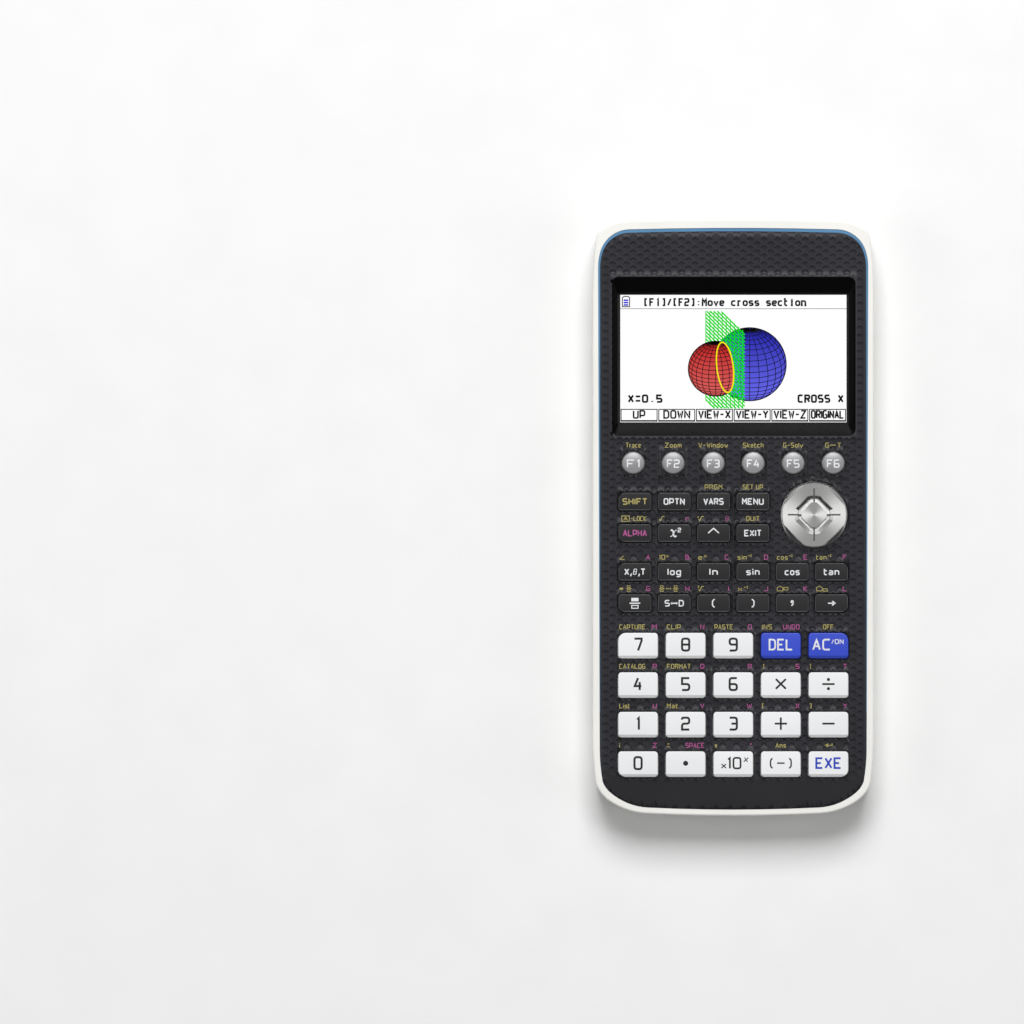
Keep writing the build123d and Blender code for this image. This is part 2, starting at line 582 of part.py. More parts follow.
def case_screws():
    """Six self-tapping screws, heads down."""
    screws = []
    for x, y in screw_places():
        head = post(x, y, HEAD_R, SEAT_Z - HEAD_T, SEAT_Z)
        length, width, depth = CROSS_SIZE
        cross = Box(length, width, depth) + Box(width, length, depth)
        screws.append(head + post(x, y, SHANK_R, SEAT_Z, SHANK_TOP) - Pos(x, y, SEAT_Z - HEAD_T) * cross)
    return Compound(children=screws)


def usb_heights(gap):
    """Lowest and highest point of the data socket, with a gap round it."""
    return BOARD_Z - USB_H - gap, BOARD_Z + gap


def jack_middle():
    """Height of the link jack's bore."""
    return BOARD_Z - JACK_W / 2


def port_sockets():
    """The data socket with its tongue, and the link jack."""
    low, high = usb_heights(0)
    inner = USB_W / 2 - USB_WALL
    shell = box((USB_X - USB_W / 2, USB_X + USB_W / 2), USB_Y, (low, high))
    hollow_y = (USB_Y[0] + USB_BACK, USB_Y[1])
    hollow = box((USB_X - inner, USB_X + inner), hollow_y, (low + USB_WALL, high - USB_WALL))
    tongue_x = (USB_X - USB_TONGUE_HALF, USB_X + USB_TONGUE_HALF)
    tongue_z = [low + height for height in USB_TONGUE_HEIGHTS]
    tongue = box(tongue_x, (hollow_y[0], USB_Y[1] - USB_BACK), tongue_z)
    body_x = (JACK_X - JACK_W / 2, JACK_X + JACK_W / 2)
    body = box(body_x, (JACK_Y[0], JACK_NOSE_Y), (BOARD_Z - JACK_W, BOARD_Z))
    body += barrel(JACK_X, jack_middle(), JACK_W / 2, JACK_NOSE_Y, JACK_Y[1])
    body -= barrel(JACK_X, jack_middle(), JACK_BORE_R, JACK_Y[1] - JACK_BORE_L, JACK_Y[1])
    return Compound(children=[shell - hollow + tongue, body])


def write_parts():
    """Write one file per piece."""
    os.makedirs("parts", exist_ok=True)
    pieces = (
        rear_cover, front_cover, accent_trim, display_window, display_module, circuit_board, keypad_membrane,
        battery_cover, batteries, battery_contacts, case_screws, port_sockets, cursor_pad, cursor_pivot,
    )
    for piece in pieces:
        export_step(piece(), f"parts/{piece.__name__}.step")
    for name, style, x, y in layout():
        export_step(Pos(x, y, 0) * key(name, style), f"parts/key_{name}.step")


write_parts()
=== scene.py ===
from math import atan2, ceil, cos, hypot, inf, pi, radians, sin, sqrt

import bmesh
import bpy
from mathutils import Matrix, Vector
from mathutils.bvhtree import BVHTree


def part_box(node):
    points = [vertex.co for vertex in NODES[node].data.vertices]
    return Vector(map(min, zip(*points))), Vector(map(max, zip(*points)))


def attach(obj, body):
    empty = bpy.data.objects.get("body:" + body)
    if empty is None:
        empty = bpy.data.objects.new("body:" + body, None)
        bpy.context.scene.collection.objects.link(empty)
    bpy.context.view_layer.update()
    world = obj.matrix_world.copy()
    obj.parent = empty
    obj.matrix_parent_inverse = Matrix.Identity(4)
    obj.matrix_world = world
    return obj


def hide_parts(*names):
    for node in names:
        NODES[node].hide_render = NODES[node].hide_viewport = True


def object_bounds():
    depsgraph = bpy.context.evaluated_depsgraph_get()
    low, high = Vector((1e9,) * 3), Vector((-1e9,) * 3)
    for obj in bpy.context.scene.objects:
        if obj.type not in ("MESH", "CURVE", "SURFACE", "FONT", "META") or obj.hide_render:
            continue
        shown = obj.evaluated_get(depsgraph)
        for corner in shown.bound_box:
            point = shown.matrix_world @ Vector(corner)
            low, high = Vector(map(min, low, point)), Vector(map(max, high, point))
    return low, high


# A pocket graphing calculator on its back, in the frame of the CAD model: +X to the right of the keys,
# +Y towards the display end, +Z out of the key face. The object's sizes are written in millimetres and
# become metres in its meshes; materials, lights and the camera are in metres.

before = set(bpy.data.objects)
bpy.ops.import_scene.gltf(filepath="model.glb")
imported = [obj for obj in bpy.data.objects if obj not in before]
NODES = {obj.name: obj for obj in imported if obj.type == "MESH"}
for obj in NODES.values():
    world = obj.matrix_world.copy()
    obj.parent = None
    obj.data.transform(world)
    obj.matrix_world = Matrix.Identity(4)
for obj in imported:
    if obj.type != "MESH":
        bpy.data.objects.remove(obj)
cad_low, cad_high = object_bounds()
MM = 0.001

# ---- materials


def new_material(name, color, rough, metallic=0.0, **sockets):
    """A principled material. Values that are the same all over sit on the shader's own sockets."""
    material = bpy.data.materials.new(name)
    material.use_nodes = True
    shader = material.node_tree.nodes["Principled BSDF"]
    shader.inputs["Base Color"].default_value = (*color, 1)
    shader.inputs["Roughness"].default_value = rough
    shader.inputs["Metallic"].default_value = metallic
    for socket, value in sockets.items():
        shader.inputs[socket.replace("_", " ")].default_value = value
    return material


def add_node(material, kind, **values):
    """A shader node of that kind with its inputs or properties set."""
    node = material.node_tree.nodes.new("ShaderNode" + kind)
    for name, value in values.items():
        if name in node.inputs:
            node.inputs[name].default_value = value
        else:
            setattr(node, name.lower(), value)
    return node


def link(source, target):
    source.id_data.links.new(source, target)


def shader_of(material):
    return material.node_tree.nodes["Principled BSDF"]


def noise(material, scale, detail=3.0, stretch=(1, 1, 1)):
    """Noise in the row frame's coordinates, scale in cycles per metre."""
    place = add_node(material, "TexCoord")
    turn = add_node(material, "Mapping", Scale=stretch)
    texture = add_node(material, "TexNoise", Scale=scale, Detail=detail)
    link(place.outputs["Object"], turn.inputs["Vector"])
    link(turn.outputs["Vector"], texture.inputs["Vector"])
    return texture.outputs["Fac"]


def vary_color(material, fac, low, high):
    """The base colour runs between two colours with fac."""
    ramp = add_node(material, "ValToRGB")
    ramp.color_ramp.elements[0].position = 0.35
    ramp.color_ramp.elements[1].position = 0.65
    ramp.color_ramp.elements[0].color = (*low, 1)
    ramp.color_ramp.elements[1].color = (*high, 1)
    link(fac, ramp.inputs["Fac"])
    link(ramp.outputs["Color"], shader_of(material).inputs["Base Color"])


def vary_roughness(material, fac, low, high):
    """The roughness runs between two values with fac."""
    span = add_node(material, "MapRange")
    span.inputs["To Min"].default_value = low
    span.inputs["To Max"].default_value = high
    link(fac, span.inputs["Value"])
    link(span.outputs["Result"], shader_of(material).inputs["Roughness"])


def bump(material, fac, strength, depth):
    """A bump of that depth in metres from fac."""
    node = add_node(material, "Bump", Strength=strength, Distance=depth)
    link(fac, node.inputs["Height"])
    link(node.outputs["Normal"], shader_of(material).inputs["Normal"])


def linear(color):
    """The linear colour of an 8-bit display colour."""
    return [((c / 255 + 0.055) / 1.055) ** 2.4 if c > 10 else c / 255 / 12.92 for c in color]


def scaled(color, share):
    """The colour with each part multiplied by share."""
    return [c * share for c in color]


def share_of_y(material, low, high, start=0.0):
    """A value that runs from start to 1 between two places along Y in millimetres."""
    place = add_node(material, "TexCoord")
    split = add_node(material, "SeparateXYZ")
    span = add_node(material, "MapRange",
                    **{"From Min": low * MM, "From Max": high * MM, "To Min": start})
    link(place.outputs["Object"], split.inputs[0])
    link(split.outputs["Y"], span.inputs["Value"])
    return span.outputs["Result"]


def moulded(name, color, rough, spread=0.04, grain=2600, depth=0.00002, **sockets):
    """Moulded plastic: slow shade drift, uneven roughness and fine spark-eroded grain."""
    color = linear(color)
    material = new_material(name, color, rough, **sockets)
    slow = noise(material, 45, 2)
    fine = noise(material, grain, 2)
    vary_color(material, slow, scaled(color, 1 - spread), scaled(color, 1 + spread))
    vary_roughness(material, fine, rough - 0.05, rough + 0.05)
    bump(material, fine, 0.5, depth)
    return material


def shaded_below(material):
    """Deepens a dark plastic towards the near end of the panel."""
    base = shader_of(material).inputs["Base Color"]
    color = base.links[0].from_socket
    scale = add_node(material, "VectorMath", Operation="SCALE")
    link(color, scale.inputs[0])
    link(share_of_y(material, SMOOTH_BELOW, MARKED_ABOVE, NEAR_SHADE), scale.inputs["Scale"])
    link(scale.outputs[0], base)
    return material


def rubber(name, color):
    """Silicone rubber: soft sheen and a powdery grain."""
    material = moulded(name, color, 0.72, 0.08, 3800, 0.00001)
    shader_of(material).inputs["Sheen Weight"].default_value = 0.2
    return material


def sheet_metal(name, color, rough, stretch=(1, 40, 1)):
    """Plated or rolled metal with fine drawn lines."""
    material = new_material(name, color, rough, 1.0)
    lines = noise(material, 400, 3, stretch)
    vary_color(material, lines, scaled(color, 0.86), color)
    vary_roughness(material, lines, rough - 0.06, rough + 0.1)
    bump(material, lines, 0.25, 0.00001)
    return material


def radial_brushed(name, color, centre, rough):
    """Turned metal: fine rings about centre, with the highlight stretched across them."""
    material = new_material(name, color, rough, 1.0, Anisotropic=0.5)
    place = add_node(material, "TexCoord")
    shift = add_node(material, "VectorMath", Operation="SUBTRACT")
    shift.inputs[1].default_value = (centre[0], centre[1], 0)
    split = add_node(material, "SeparateXYZ")
    flat = add_node(material, "CombineXYZ")
    length = add_node(material, "VectorMath", Operation="LENGTH")
    rings = add_node(material, "TexNoise", Scale=9000.0, Detail=2.0)
    rings.noise_dimensions = "1D"
    link(place.outputs["Object"], shift.inputs[0])
    link(shift.outputs[0], split.inputs[0])
    link(split.outputs["X"], flat.inputs["X"])
    link(split.outputs["Y"], flat.inputs["Y"])
    link(flat.outputs[0], length.inputs[0])
    link(length.outputs["Value"], rings.inputs["W"])
    vary_color(material, rings.outputs["Fac"], scaled(color, 0.84), color)
    vary_roughness(material, rings.outputs["Fac"], rough - 0.05, rough + 0.07)
    bump(material, rings.outputs["Fac"], 0.2, 0.000006)
    # the tangent runs along the rings: the radius turned by a right angle about Z
    turned = add_node(material, "VectorMath", Operation="CROSS_PRODUCT")
    turned.inputs[0].default_value = (0, 0, 1)
    unit = add_node(material, "VectorMath", Operation="NORMALIZE")
    link(flat.outputs[0], turned.inputs[1])
    link(turned.outputs[0], unit.inputs[0])
    link(unit.outputs[0], shader_of(material).inputs["Tangent"])
    return material


def clear_plate(name):
    """Clear acrylic: almost no tint, with a polished face."""
    material = new_material(name, (0.01, 0.012, 0.015), 0.04, 0.0, Alpha=0.06)
    film = noise(material, 60, 3)
    vary_roughness(material, film, 0.03, 0.08)
    material.blend_method = "BLEND"
    return material


def ink(name, color):
    """Printed ink: slightly uneven cover."""
    color = linear(color)
    material = new_material(name, color, 0.5)
    vary_color(material, noise(material, 900, 2), scaled(color, 0.85), color)
    return material


def lit(name, color, strength=1.0):
    """A colour of the display, lit from behind. Its surface reflects hardly anything."""
    color = linear(color)
    material = new_material(name, scaled(color, 0.02), 0.5, Emission_Color=(*color, 1),
                            Emission_Strength=strength, Specular_IOR_Level=LIT_SPECULAR)
    vary_color(material, noise(material, 30, 1), scaled(color, 0.018), scaled(color, 0.022))
    return material


def set_materials(mesh, materials):
    """Gives a mesh these materials in place of its own."""
    mesh.materials.clear()
    for material in materials:
        mesh.materials.append(material)


def centre_of(node):
    """Middle of a CAD node's box, in metres."""
    low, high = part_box(node)
    return (low + high) / 2


def make_materials():
    """All materials, by short name."""
    return {
        "shell": moulded("shell_pale", (240, 239, 234), 0.42, 0.02, 1500, 0.00001),
        "panel": shaded_below(moulded("panel_dark", (46, 46, 51), 0.5, 0.1, 3000, 0.00002,
                                       Specular_IOR_Level=0.28)),
        # a darker colour painted as shade on the marks' steep sides and as shadow round the keys and the pad
        "panel_painted_shade": moulded("panel_marks_painted_shade", (24, 24, 28), 0.55, 0.1, 3000, 0.00002,
                              Specular_IOR_Level=0.28),
        "recess": moulded("recess_gloss", (6, 6, 6), 0.35, 0.1, 800, 0.000002, Specular_IOR_Level=0.04),
        "trim": moulded("trim_blue", (84, 134, 174), 0.35, 0.06, 2200, 0.000006),
        "window": clear_plate("window_clear"),
        "bezel": moulded("display_frame", (12, 12, 13), 0.35, 0.1),
        "key_dark": moulded("key_dark", (30, 30, 32), 0.36, 0.1, 2400, 0.00001),
        # the dark keys' near and side edges: a lighter colour painted on as a highlight
        "key_edge": moulded("key_dark_painted_highlight", (84, 86, 88), 0.3, 0.1, 2400, 0.00001),
        "key_pale": moulded("key_pale", (238, 239, 240), 0.38, 0.02, 2400, 0.00001),
        "key_blue": moulded("key_blue", (50, 74, 198), 0.38, 0.05, 2400, 0.00001),
        "silver": moulded("key_silver", (172, 172, 174), 0.33, 0.04, 1800, 0.000008, Metallic=0.5),
        "pad": radial_brushed("pad_metal", (0.72, 0.72, 0.71), centre_of("cursor_pad"), 0.38),
        # the pad's ring floor: a lighter colour painted as a reflection
        "pad_ring": sheet_metal("pad_ring", (0.86, 0.86, 0.85), 0.5, (1, 1, 1)),
        # the pad's line floors and, as painted shade, its far wall
        "pad_dark_lines_and_shade": sheet_metal("pad_lines_and_painted_shade", (0.16, 0.16, 0.16), 0.4, (1, 1, 1)),
        "steel": sheet_metal("contact_metal", (0.62, 0.62, 0.6), 0.3),
        "screw": sheet_metal("screw_steel", (0.32, 0.32, 0.34), 0.34, (1, 1, 1)),
        "cell": sheet_metal("cell_sleeve", (0.3, 0.34, 0.4), 0.35, (40, 1, 40)),
        "board": moulded("board_green", (22, 84, 46), 0.35, 0.12, 700, 0.00001),
        "chip": moulded("chip_black", (28, 28, 30), 0.45, 0.1),
        "rubber": rubber("membrane_grey", (120, 122, 126)),
        "black": moulded("pivot_black", (26, 26, 28), 0.4),
        "white_ink": ink("ink_white", (235, 236, 238)),
        "black_ink": ink("ink_black", (20, 20, 25)),
        "blue_ink": ink("ink_blue", (26, 66, 190)),
        "yellow_ink": ink("ink_yellow", (176, 164, 96)),
        "magenta_ink": ink("ink_magenta", (176, 80, 142)),
    }


# ---- meshes

RAY_START = 0.05       # metres above the table, over everything


def new_piece(name, vertices, faces, material, body):
    """A mesh object from corners in millimetres, which rides on a body."""
    mesh = bpy.data.meshes.new(name)
    mesh.from_pydata([Vector(v) * MM for v in vertices], [], faces)
    mesh.materials.append(material)
    mesh.validate()
    piece = bpy.data.objects.new(name, mesh)
    bpy.context.scene.collection.objects.link(piece)
    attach(piece, body)
    return piece


def surface_of(thing):
    """A function that gives the height in mm of a mesh seen from above, at x and y in mm."""
    mesh = thing.data
    tree = BVHTree.FromPolygons([v.co for v in mesh.vertices], [p.vertices for p in mesh.polygons])

    def height(x, y):
        hit = tree.ray_cast(Vector((x * MM, y * MM, RAY_START)), Vector((0, 0, -1)))
        return hit[0].z / MM if hit[0] else 0

    return height


class Print:
    """Strokes and fills gathered into one thin closed mesh that lies on a surface."""

    def __init__(self, height, step=1.0, rise=0.02, sink=0.03):
        self.height = height
        self.step = step
        self.rise = rise
        self.sink = sink
        self.vertices = []
        self.faces = []

    def add(self, x, y):
        """One place as two vertices, above and below the surface; gives the index of the upper one."""
        z = self.height(x, y)
        self.vertices += [(x, y, z + self.rise), (x, y, z - self.sink)]
        return len(self.vertices) - 2

    def stroke(self, line, width, closed=False):
        """A band of that width along a line of points."""
        line = divided(line, self.step, closed)
        edges = [(self.add(*a), self.add(*b)) for a, b in band_edges(line, width / 2, closed)]
        pairs = list(zip(edges, edges[1:]))
        if closed:
            pairs.append((edges[-1], edges[0]))
        for (a, b), (c, d) in pairs:
            self.faces += [(a, b, d, c), (a + 1, c + 1, d + 1, b + 1), (a, c, c + 1, a + 1),
                           (b, b + 1, d + 1, d)]
        if not closed:
            (a, b), (c, d) = edges[0], edges[-1]
            self.faces += [(a, a + 1, b + 1, b), (c, d, d + 1, c + 1)]

    def fill(self, outline):
        """A filled outline, anticlockwise."""
        ring = [self.add(*p) for p in outline]
        self.faces.append(tuple(ring))
        self.faces.append(tuple(i + 1 for i in reversed(ring)))
        for a, b in zip(ring, ring[1:] + ring[:1]):
            self.faces.append((a, a + 1, b + 1, b))

    def dot(self, x, y, radius, sides=24):
        """A filled circle."""
        self.fill(circle(x, y, radius, sides))

    def box(self, left, low, right, high, width):
        """The outline of a box."""
        self.stroke(corners(left, low, right, high), width, True)

    def piece(self, name, material, body):
        """The finished piece."""
        return new_piece(name, self.vertices, self.faces, material, body)


def arc(x, y, radius_x, radius_y, start, end, steps, lean=0.0):
    """Points along an elliptic arc; lean turns it, in radians."""
    points = []
    for i in range(steps + 1):
        angle = start + (end - start) * i / steps
        u = radius_x * cos(angle)
        v = radius_y * sin(angle)
        points.append((x + u * cos(lean) - v * sin(lean), y + u * sin(lean) + v * cos(lean)))
    return points


def circle(x, y, radius, sides):
    """Points round a circle."""
    return arc(x, y, radius, radius, 0, 2 * pi, sides)[:-1]


def corners(left, low, right, high):
    """The corners of a box, anticlockwise."""
    return [(left, low), (right, low), (right, high), (left, high)]


def divided(line, step, closed):
    """The line with points added so that no part is longer than step."""
    points = []
    ends = line[1:] + line[:1] if closed else line[1:]
    for a, b in zip(line, ends):
        count = max(1, ceil(hypot(b[0] - a[0], b[1] - a[1]) / step))
        for i in range(count):
            points.append((a[0] + (b[0] - a[0]) * i / count, a[1] + (b[1] - a[1]) * i / count))
    if not closed:
        points.append(tuple(line[-1]))
    return points


def band_edges(line, half, closed):
    """The two edges of a band along a line, mitred at its corners up to twice the half width."""
    line = [Vector(p) for p in line]
    last = len(line) - 1
    edges = []
    for i, here in enumerate(line):
        before = line[i - 1] if i or closed else here
        after = line[(i + 1) % (last + 1)] if i < last or closed else here
        way_in = (here - before).normalized() if here != before else (after - here).normalized()
        way_out = (after - here).normalized() if after != here else way_in
        along = (way_in + way_out).normalized()
        side = Vector((-along.y, along.x))
        reach = half / max(0.5, side.dot(Vector((-way_in.y, way_in.x))))
        edges.append((tuple(here + side * reach), tuple(here - side * reach)))
    return edges


# ---- lettering

# Strokes on a grid: two digits are x and y, the baseline is y 2, the capitals' top is y 8.
# A dot after a point keeps its corner sharp, "s" keeps them all sharp, "o" closes the stroke.
GLYPHS = {
    "0": "o 02 42 48 08", "1": "s 07 18 12", "2": "07 08 48 45 05 02. 42", "3": "08 48 42 02/15 45",
    "4": "s 28 04 44/36 32", "5": "48 08. 05. 45 42 02", "6": "48 08 02 42 45 05", "7": "08 48. 47. 22",
    "8": "o 02 42 48 08/05 45", "9": "02 42 48 08 05 45", "A": "s 02 28 42/14 34",
    "B": "05 35 38 08. 02. 42 45 35", "C": "48 08 02 42", "D": "o 02. 08. 38 47 43 32",
    "E": "48 08. 02. 42/05 35", "F": "48 08. 02/05 35", "G": "48 08 02 42 45 25",
    "H": "02 08/42 48/05 45", "I": "02 08", "J": "38 32 02 03", "K": "s 02 08/48 05 42",
    "L": "08 02. 42", "M": "s 02 08 25 48 42", "N": "s 02 08 42 48", "O": "o 02 42 48 08",
    "P": "02 08. 48 44 04", "Q": "o 02 42 48 08/24 42", "R": "02 08. 48 45 05/25 42",
    "S": "48 08 05 45 42 02", "T": "08 48/28 22", "U": "08 02 42 48", "V": "s 08 22 48",
    "W": "s 08 12 26 32 48", "X": "08 42/02 48", "Y": "s 08 25 48/25 22", "Z": "s 08 48 02 42",
    "a": "06 36 32 02 04 34", "c": "36 06 02 32", "d": "38 32. 02 06 36",
    "e": "32 02 06 36 34 04", "g": "00 30 36. 06 02 32", "h": "02 08/06 36 32", "i": "02 06/07 08",
    "k": "s 02 08/36 04 32", "l": "08 02", "m": "02 06. 46 42/26 22", "n": "02 06. 36 32",
    "o": "o 02 32 36 06", "r": "02 06. 26", "s": "36 06 04 34 32 02", "t": "08 02 22/06 26",
    "v": "s 06 22 46", "w": "s 06 12 25 32 46", "x": "06 42/02 46", "-": "05 35",
    "=": "07 47/03 43", "(": "28 07 03 22",
    ")": "08 27 23 02", "[": "s 28 08 02 22", "]": "s 08 28 22 02", "/": "02 38", ",": "s 13 12 00",
    ".": "02 03", ":": "02 03/05 06", "{": "38 28 25 05/05 25 22 32", "}": "08 18 15 35/35 15 12 02",
    '"': "06 08/26 28", "θ": "o 02 32 48 18/15 35", "π": "06 46/16 12/36 32", "√": "s 04 12 38 58",
    "∠": "s 37 02 42", "↔": "s 14 05 16/05 65/54 65 56", "^": "s 05 38 65", "→": "05 55/s 37 55 33",
    "↵": "s 48 45 05/23 05 27",
}
CORNER = 1.3
ARC_STEPS = 3
CAP = 6                # grid units from the baseline to the capitals' top
GAP = 2.0              # grid units between letters
BLANK = 3.0            # and for a space
NARROW = 0.83          # width of a grid unit over its height, where no width is asked for
RAISED = 0.58          # size of raised letters
RAISED_OVER = 0.6      # their tops stand this far over the capitals' tops
THIN = {"θ": 0.6}      # letters drawn with a thinner stroke
LETTER_WIDE, SMALL_WIDE = 4, 3    # a capital or a small letter this wide fills its typewriter cell
CELL_SHARE = 0.92      # of its cell's width, a typewritten letter takes this share
SERIF = 0.9            # half a serif's length
SERIF_STEM = 1.5       # only upright ends longer than this have one


def glyph_strokes(letter):
    """The strokes of a letter, each a list of (x, y) with the baseline at 0, and whether it is closed."""
    strokes = []
    for part in GLYPHS[letter].split("/"):
        words = part.split()
        closed = words[0] == "o"
        all_sharp = words[0] == "s"
        if closed or all_sharp:
            words = words[1:]
        points = [Vector((int(w[0]), int(w[1]) - 2)) for w in words]
        sharp = [all_sharp or w.endswith(".") for w in words]
        strokes.append((rounded(points, sharp, closed), closed))
    return strokes


def rounded(points, sharp, closed):
    """The line with each corner that isn't sharp turned into a short curve."""
    line = []
    last = len(points) - 1
    for i, here in enumerate(points):
        if sharp[i] or (not closed and i in (0, last)):
            line.append(here)
            continue
        before = points[i - 1] - here
        after = points[(i + 1) % (last + 1)] - here
        start = here + before.normalized() * min(CORNER, before.length / 2)
        end = here + after.normalized() * min(CORNER, after.length / 2)
        for step in range(ARC_STEPS + 1):
            t = step / ARC_STEPS
            line.append(start * (1 - t) ** 2 + here * 2 * t * (1 - t) + end * t ** 2)
    return line


def serifs(strokes):
    """Short ticks across the upright stroke ends."""
    ticks = []
    for line, closed in strokes:
        for end, inner in ((line[0], line[1]), (line[-1], line[-2])):
            if not closed and abs(end.x - inner.x) < 0.01 and abs(end.y - inner.y) > SERIF_STEM:
                ticks.append(([end - Vector((SERIF, 0)), end + Vector((SERIF, 0))], False))
    return ticks


def arranged(text):
    """Each letter's strokes, place along the line, size and lift in grid units and weight, and the line's
    length. Letters between < and > are raised."""
    letters = []
    pen = 0.0
    size, lift = 1.0, 0.0
    for letter in text:
        if letter == "<":
            size, lift = RAISED, CAP * (1 - RAISED) + RAISED_OVER
        elif letter == ">":
            size, lift = 1.0, 0.0
        elif letter == " ":
            pen += BLANK
        else:
            strokes = glyph_strokes(letter)
            letters.append((strokes, pen, size, lift, THIN.get(letter, 1.0)))
            pen += (max(p.x for line, _ in strokes for p in line) + GAP) * size
            end = pen - GAP * size
    return letters, end


def write(ink, text, x, y, height, stroke, width=None, at=0.5, slant=0.0):
    """Writes text with its capitals centred on y. at is 0, 0.5 or 1 for x at the left, middle or right."""
    letters, length = arranged(text)
    tall = (height - stroke) / CAP
    across = (width - stroke) / length if width and length else NARROW * tall
    left = x - (length * across + stroke) * at + stroke / 2
    low = y - CAP * tall / 2
    for strokes, pen, size, lift, weight in letters:
        for line, closed in strokes:
            ink.stroke([(left + (pen + p.x * size) * across + p.y * size * tall * slant,
                         low + (p.y * size + lift) * tall) for p in line], stroke * weight, closed)


def typewrite(ink, text, x, y, height, stroke, pitch):
    """Writes text with serifs, every letter centred in a cell as wide as pitch, the first centred on x."""
    tall = (height - stroke) / CAP
    for letter in text:
        if letter != " ":
            strokes = glyph_strokes(letter)
            wide = max(p.x for line, _ in strokes for p in line)
            full = max(wide, SMALL_WIDE if letter.islower() else LETTER_WIDE)
            across = (pitch * CELL_SHARE - stroke) / full
            for line, closed in strokes + serifs(strokes):
                ink.stroke([(x + (p.x - wide / 2) * across, y + (p.y - CAP / 2) * tall)
                            for p in line], stroke, closed)
        x += pitch


# ---- the face

MARK_PITCH = 2.18      # from one column of arrowheads to the next
MARK_PERIOD = 2.54     # from one arrowhead to the next in its column
MARK_DROP = 0.75       # the arms' ends are this far below the tip
MARK_STEEP = 0.55      # width of the steep side of an arm
MARK_EDGE = 0.14       # the arms rise to nothing over this width at the column's sides
MARK_DEPTH = 0.3
FACE_MARGIN = 2.0      # the pressing tool reaches this far past the cover
SKIM = 0.003           # the tool's flat stays this far under the cover's face
SMOOTH_BELOW, MARKED_ABOVE = -84.0, -78.0    # along Y, the marks fade in from the first to the second
NEAR_SHADE = 0.42      # the panel's colour falls to this share of itself over the same stretch
MARKED_X, MARKED_Y = (-41.0, 41.0), 88.4     # past these the marks fade out over FADE
FADE = 0.8
END_CLEAR = 0.1        # no mark starts this near to a column's end
OPENING_CLEAR = 0.45   # a flat border at least this wide runs round the keys' caps and the recess
BORDER_STEP = 0.03     # length of the step between border and marks
PAD_RADIUS = 11.0      # the pad's border ends at this radius
RECESS = (-38.5, 25.75, 38.8, 76.2)    # left, low, right and high edge of the recess round the display
WALL, STEEP, LEVEL = 0.7, 0.94, 0.99   # a normal's Z: walls are below the first, a mark's steep side below
                                       # the second, anything that isn't level below the third
SHALLOW = 0.01         # depths up to this count as no mark
PLANE_AREA = 4e-6      # square metres of one direction that make a plane, not a rounded edge
SHARP = radians(30)


def eased(share):
    """A soft step from 0 to 1."""
    share = min(1, max(0, share))
    return share * share * (3 - 2 * share)


def find_openings():
    """Boxes with their borders that the marks stay out of, and the pad's middle."""
    boxes = [RECESS] + [cap_of(node[4:]) for node in NODES if node.startswith("key_")]
    grown = [(left - OPENING_CLEAR, low - OPENING_CLEAR, right + OPENING_CLEAR, high + OPENING_CLEAR)
             for left, low, right, high in boxes]
    return grown, centre_of("cursor_pad") / MM


def spans_at(x, openings):
    """Joined (start, end) spans along Y at x that lie in the openings."""
    boxes, pad = openings
    spans = [(low, high) for left, low, right, high in boxes if left < x < right]
    if abs(x - pad.x) < PAD_RADIUS:
        half = sqrt(PAD_RADIUS ** 2 - (x - pad.x) ** 2)
        spans.append((pad.y - half, pad.y + half))
    joined = []
    for start, end in sorted(spans):
        if joined and start < joined[-1][1] + MARK_DROP + MARK_STEEP:
            joined[-1] = (joined[-1][0], max(end, joined[-1][1]))
        else:
            joined.append((start, end))
    return joined


def share_at(y, marks):
    """Depth share at y on the line through sorted marks."""
    for (y0, share0), (y1, share1) in zip(marks, marks[1:]):
        if y0 <= y <= y1:
            return share0 + (share1 - share0) * (y - y0) / max(y1 - y0, 1e-6)
    return 0


def with_borders(marks, spans, drop):
    """The marks with every span made flat. A border's edge runs along the arms, so it is lowered by drop."""
    marks = sorted(marks)
    spans = [(start - drop, end + MARK_DROP - drop) for start, end in spans]
    line = []
    for y, share in marks:
        if all(min(abs(y - a), abs(y - b)) > 2 * BORDER_STEP for a, b in spans):
            line.append((y, 0 if any(a < y < b for a, b in spans) else share))
    for start, end in spans:
        line += [(start, share_at(start, marks)), (start + BORDER_STEP, 0), (end - BORDER_STEP, 0),
                 (end, share_at(end, marks))]
    return sorted(line)


def in_opening(x, y, openings):
    """Whether a place is in an opening or on its border."""
    boxes, pad = openings
    if hypot(x - pad.x, y - pad.y) < PAD_RADIUS:
        return True
    return any(left < x < right and low < y < high for left, low, right, high in boxes)


def mark_depth(x, y):
    """Depth of the marks, which fade out at the near end and at the sides."""
    inside = min(x - MARKED_X[0], MARKED_X[1] - x, MARKED_Y - y)
    return MARK_DEPTH * eased((y - SMOOTH_BELOW) / (MARKED_ABOVE - SMOOTH_BELOW)) * eased(1 + inside / FADE)


def arm_marks(low, high, phase, drop, deep):
    """(y, depth share) along one line of a column: where each arm's steep side starts and ends."""
    marks = [(low, 0)]
    for i in range(int((high - low) / MARK_PERIOD)):
        foot = low + phase + i * MARK_PERIOD - drop
        for y, share in ((foot, deep), (foot + MARK_STEEP, 0)):
            if low + END_CLEAR < y < high - END_CLEAR:
                marks.append((y, share))
    return marks + [(high, 0)]


def zipped(left, right, faces):
    """Triangles between two lines of (place along the arms, index)."""
    i = j = 0
    while i < len(left) - 1 or j < len(right) - 1:
        up_left = left[i + 1][0] if i < len(left) - 1 else inf
        up_right = right[j + 1][0] if j < len(right) - 1 else inf
        if up_left <= up_right:
            faces.append((left[i][1], right[j][1], left[i + 1][1]))
            i += 1
        else:
            faces.append((left[i][1], right[j][1], right[j + 1][1]))
            j += 1


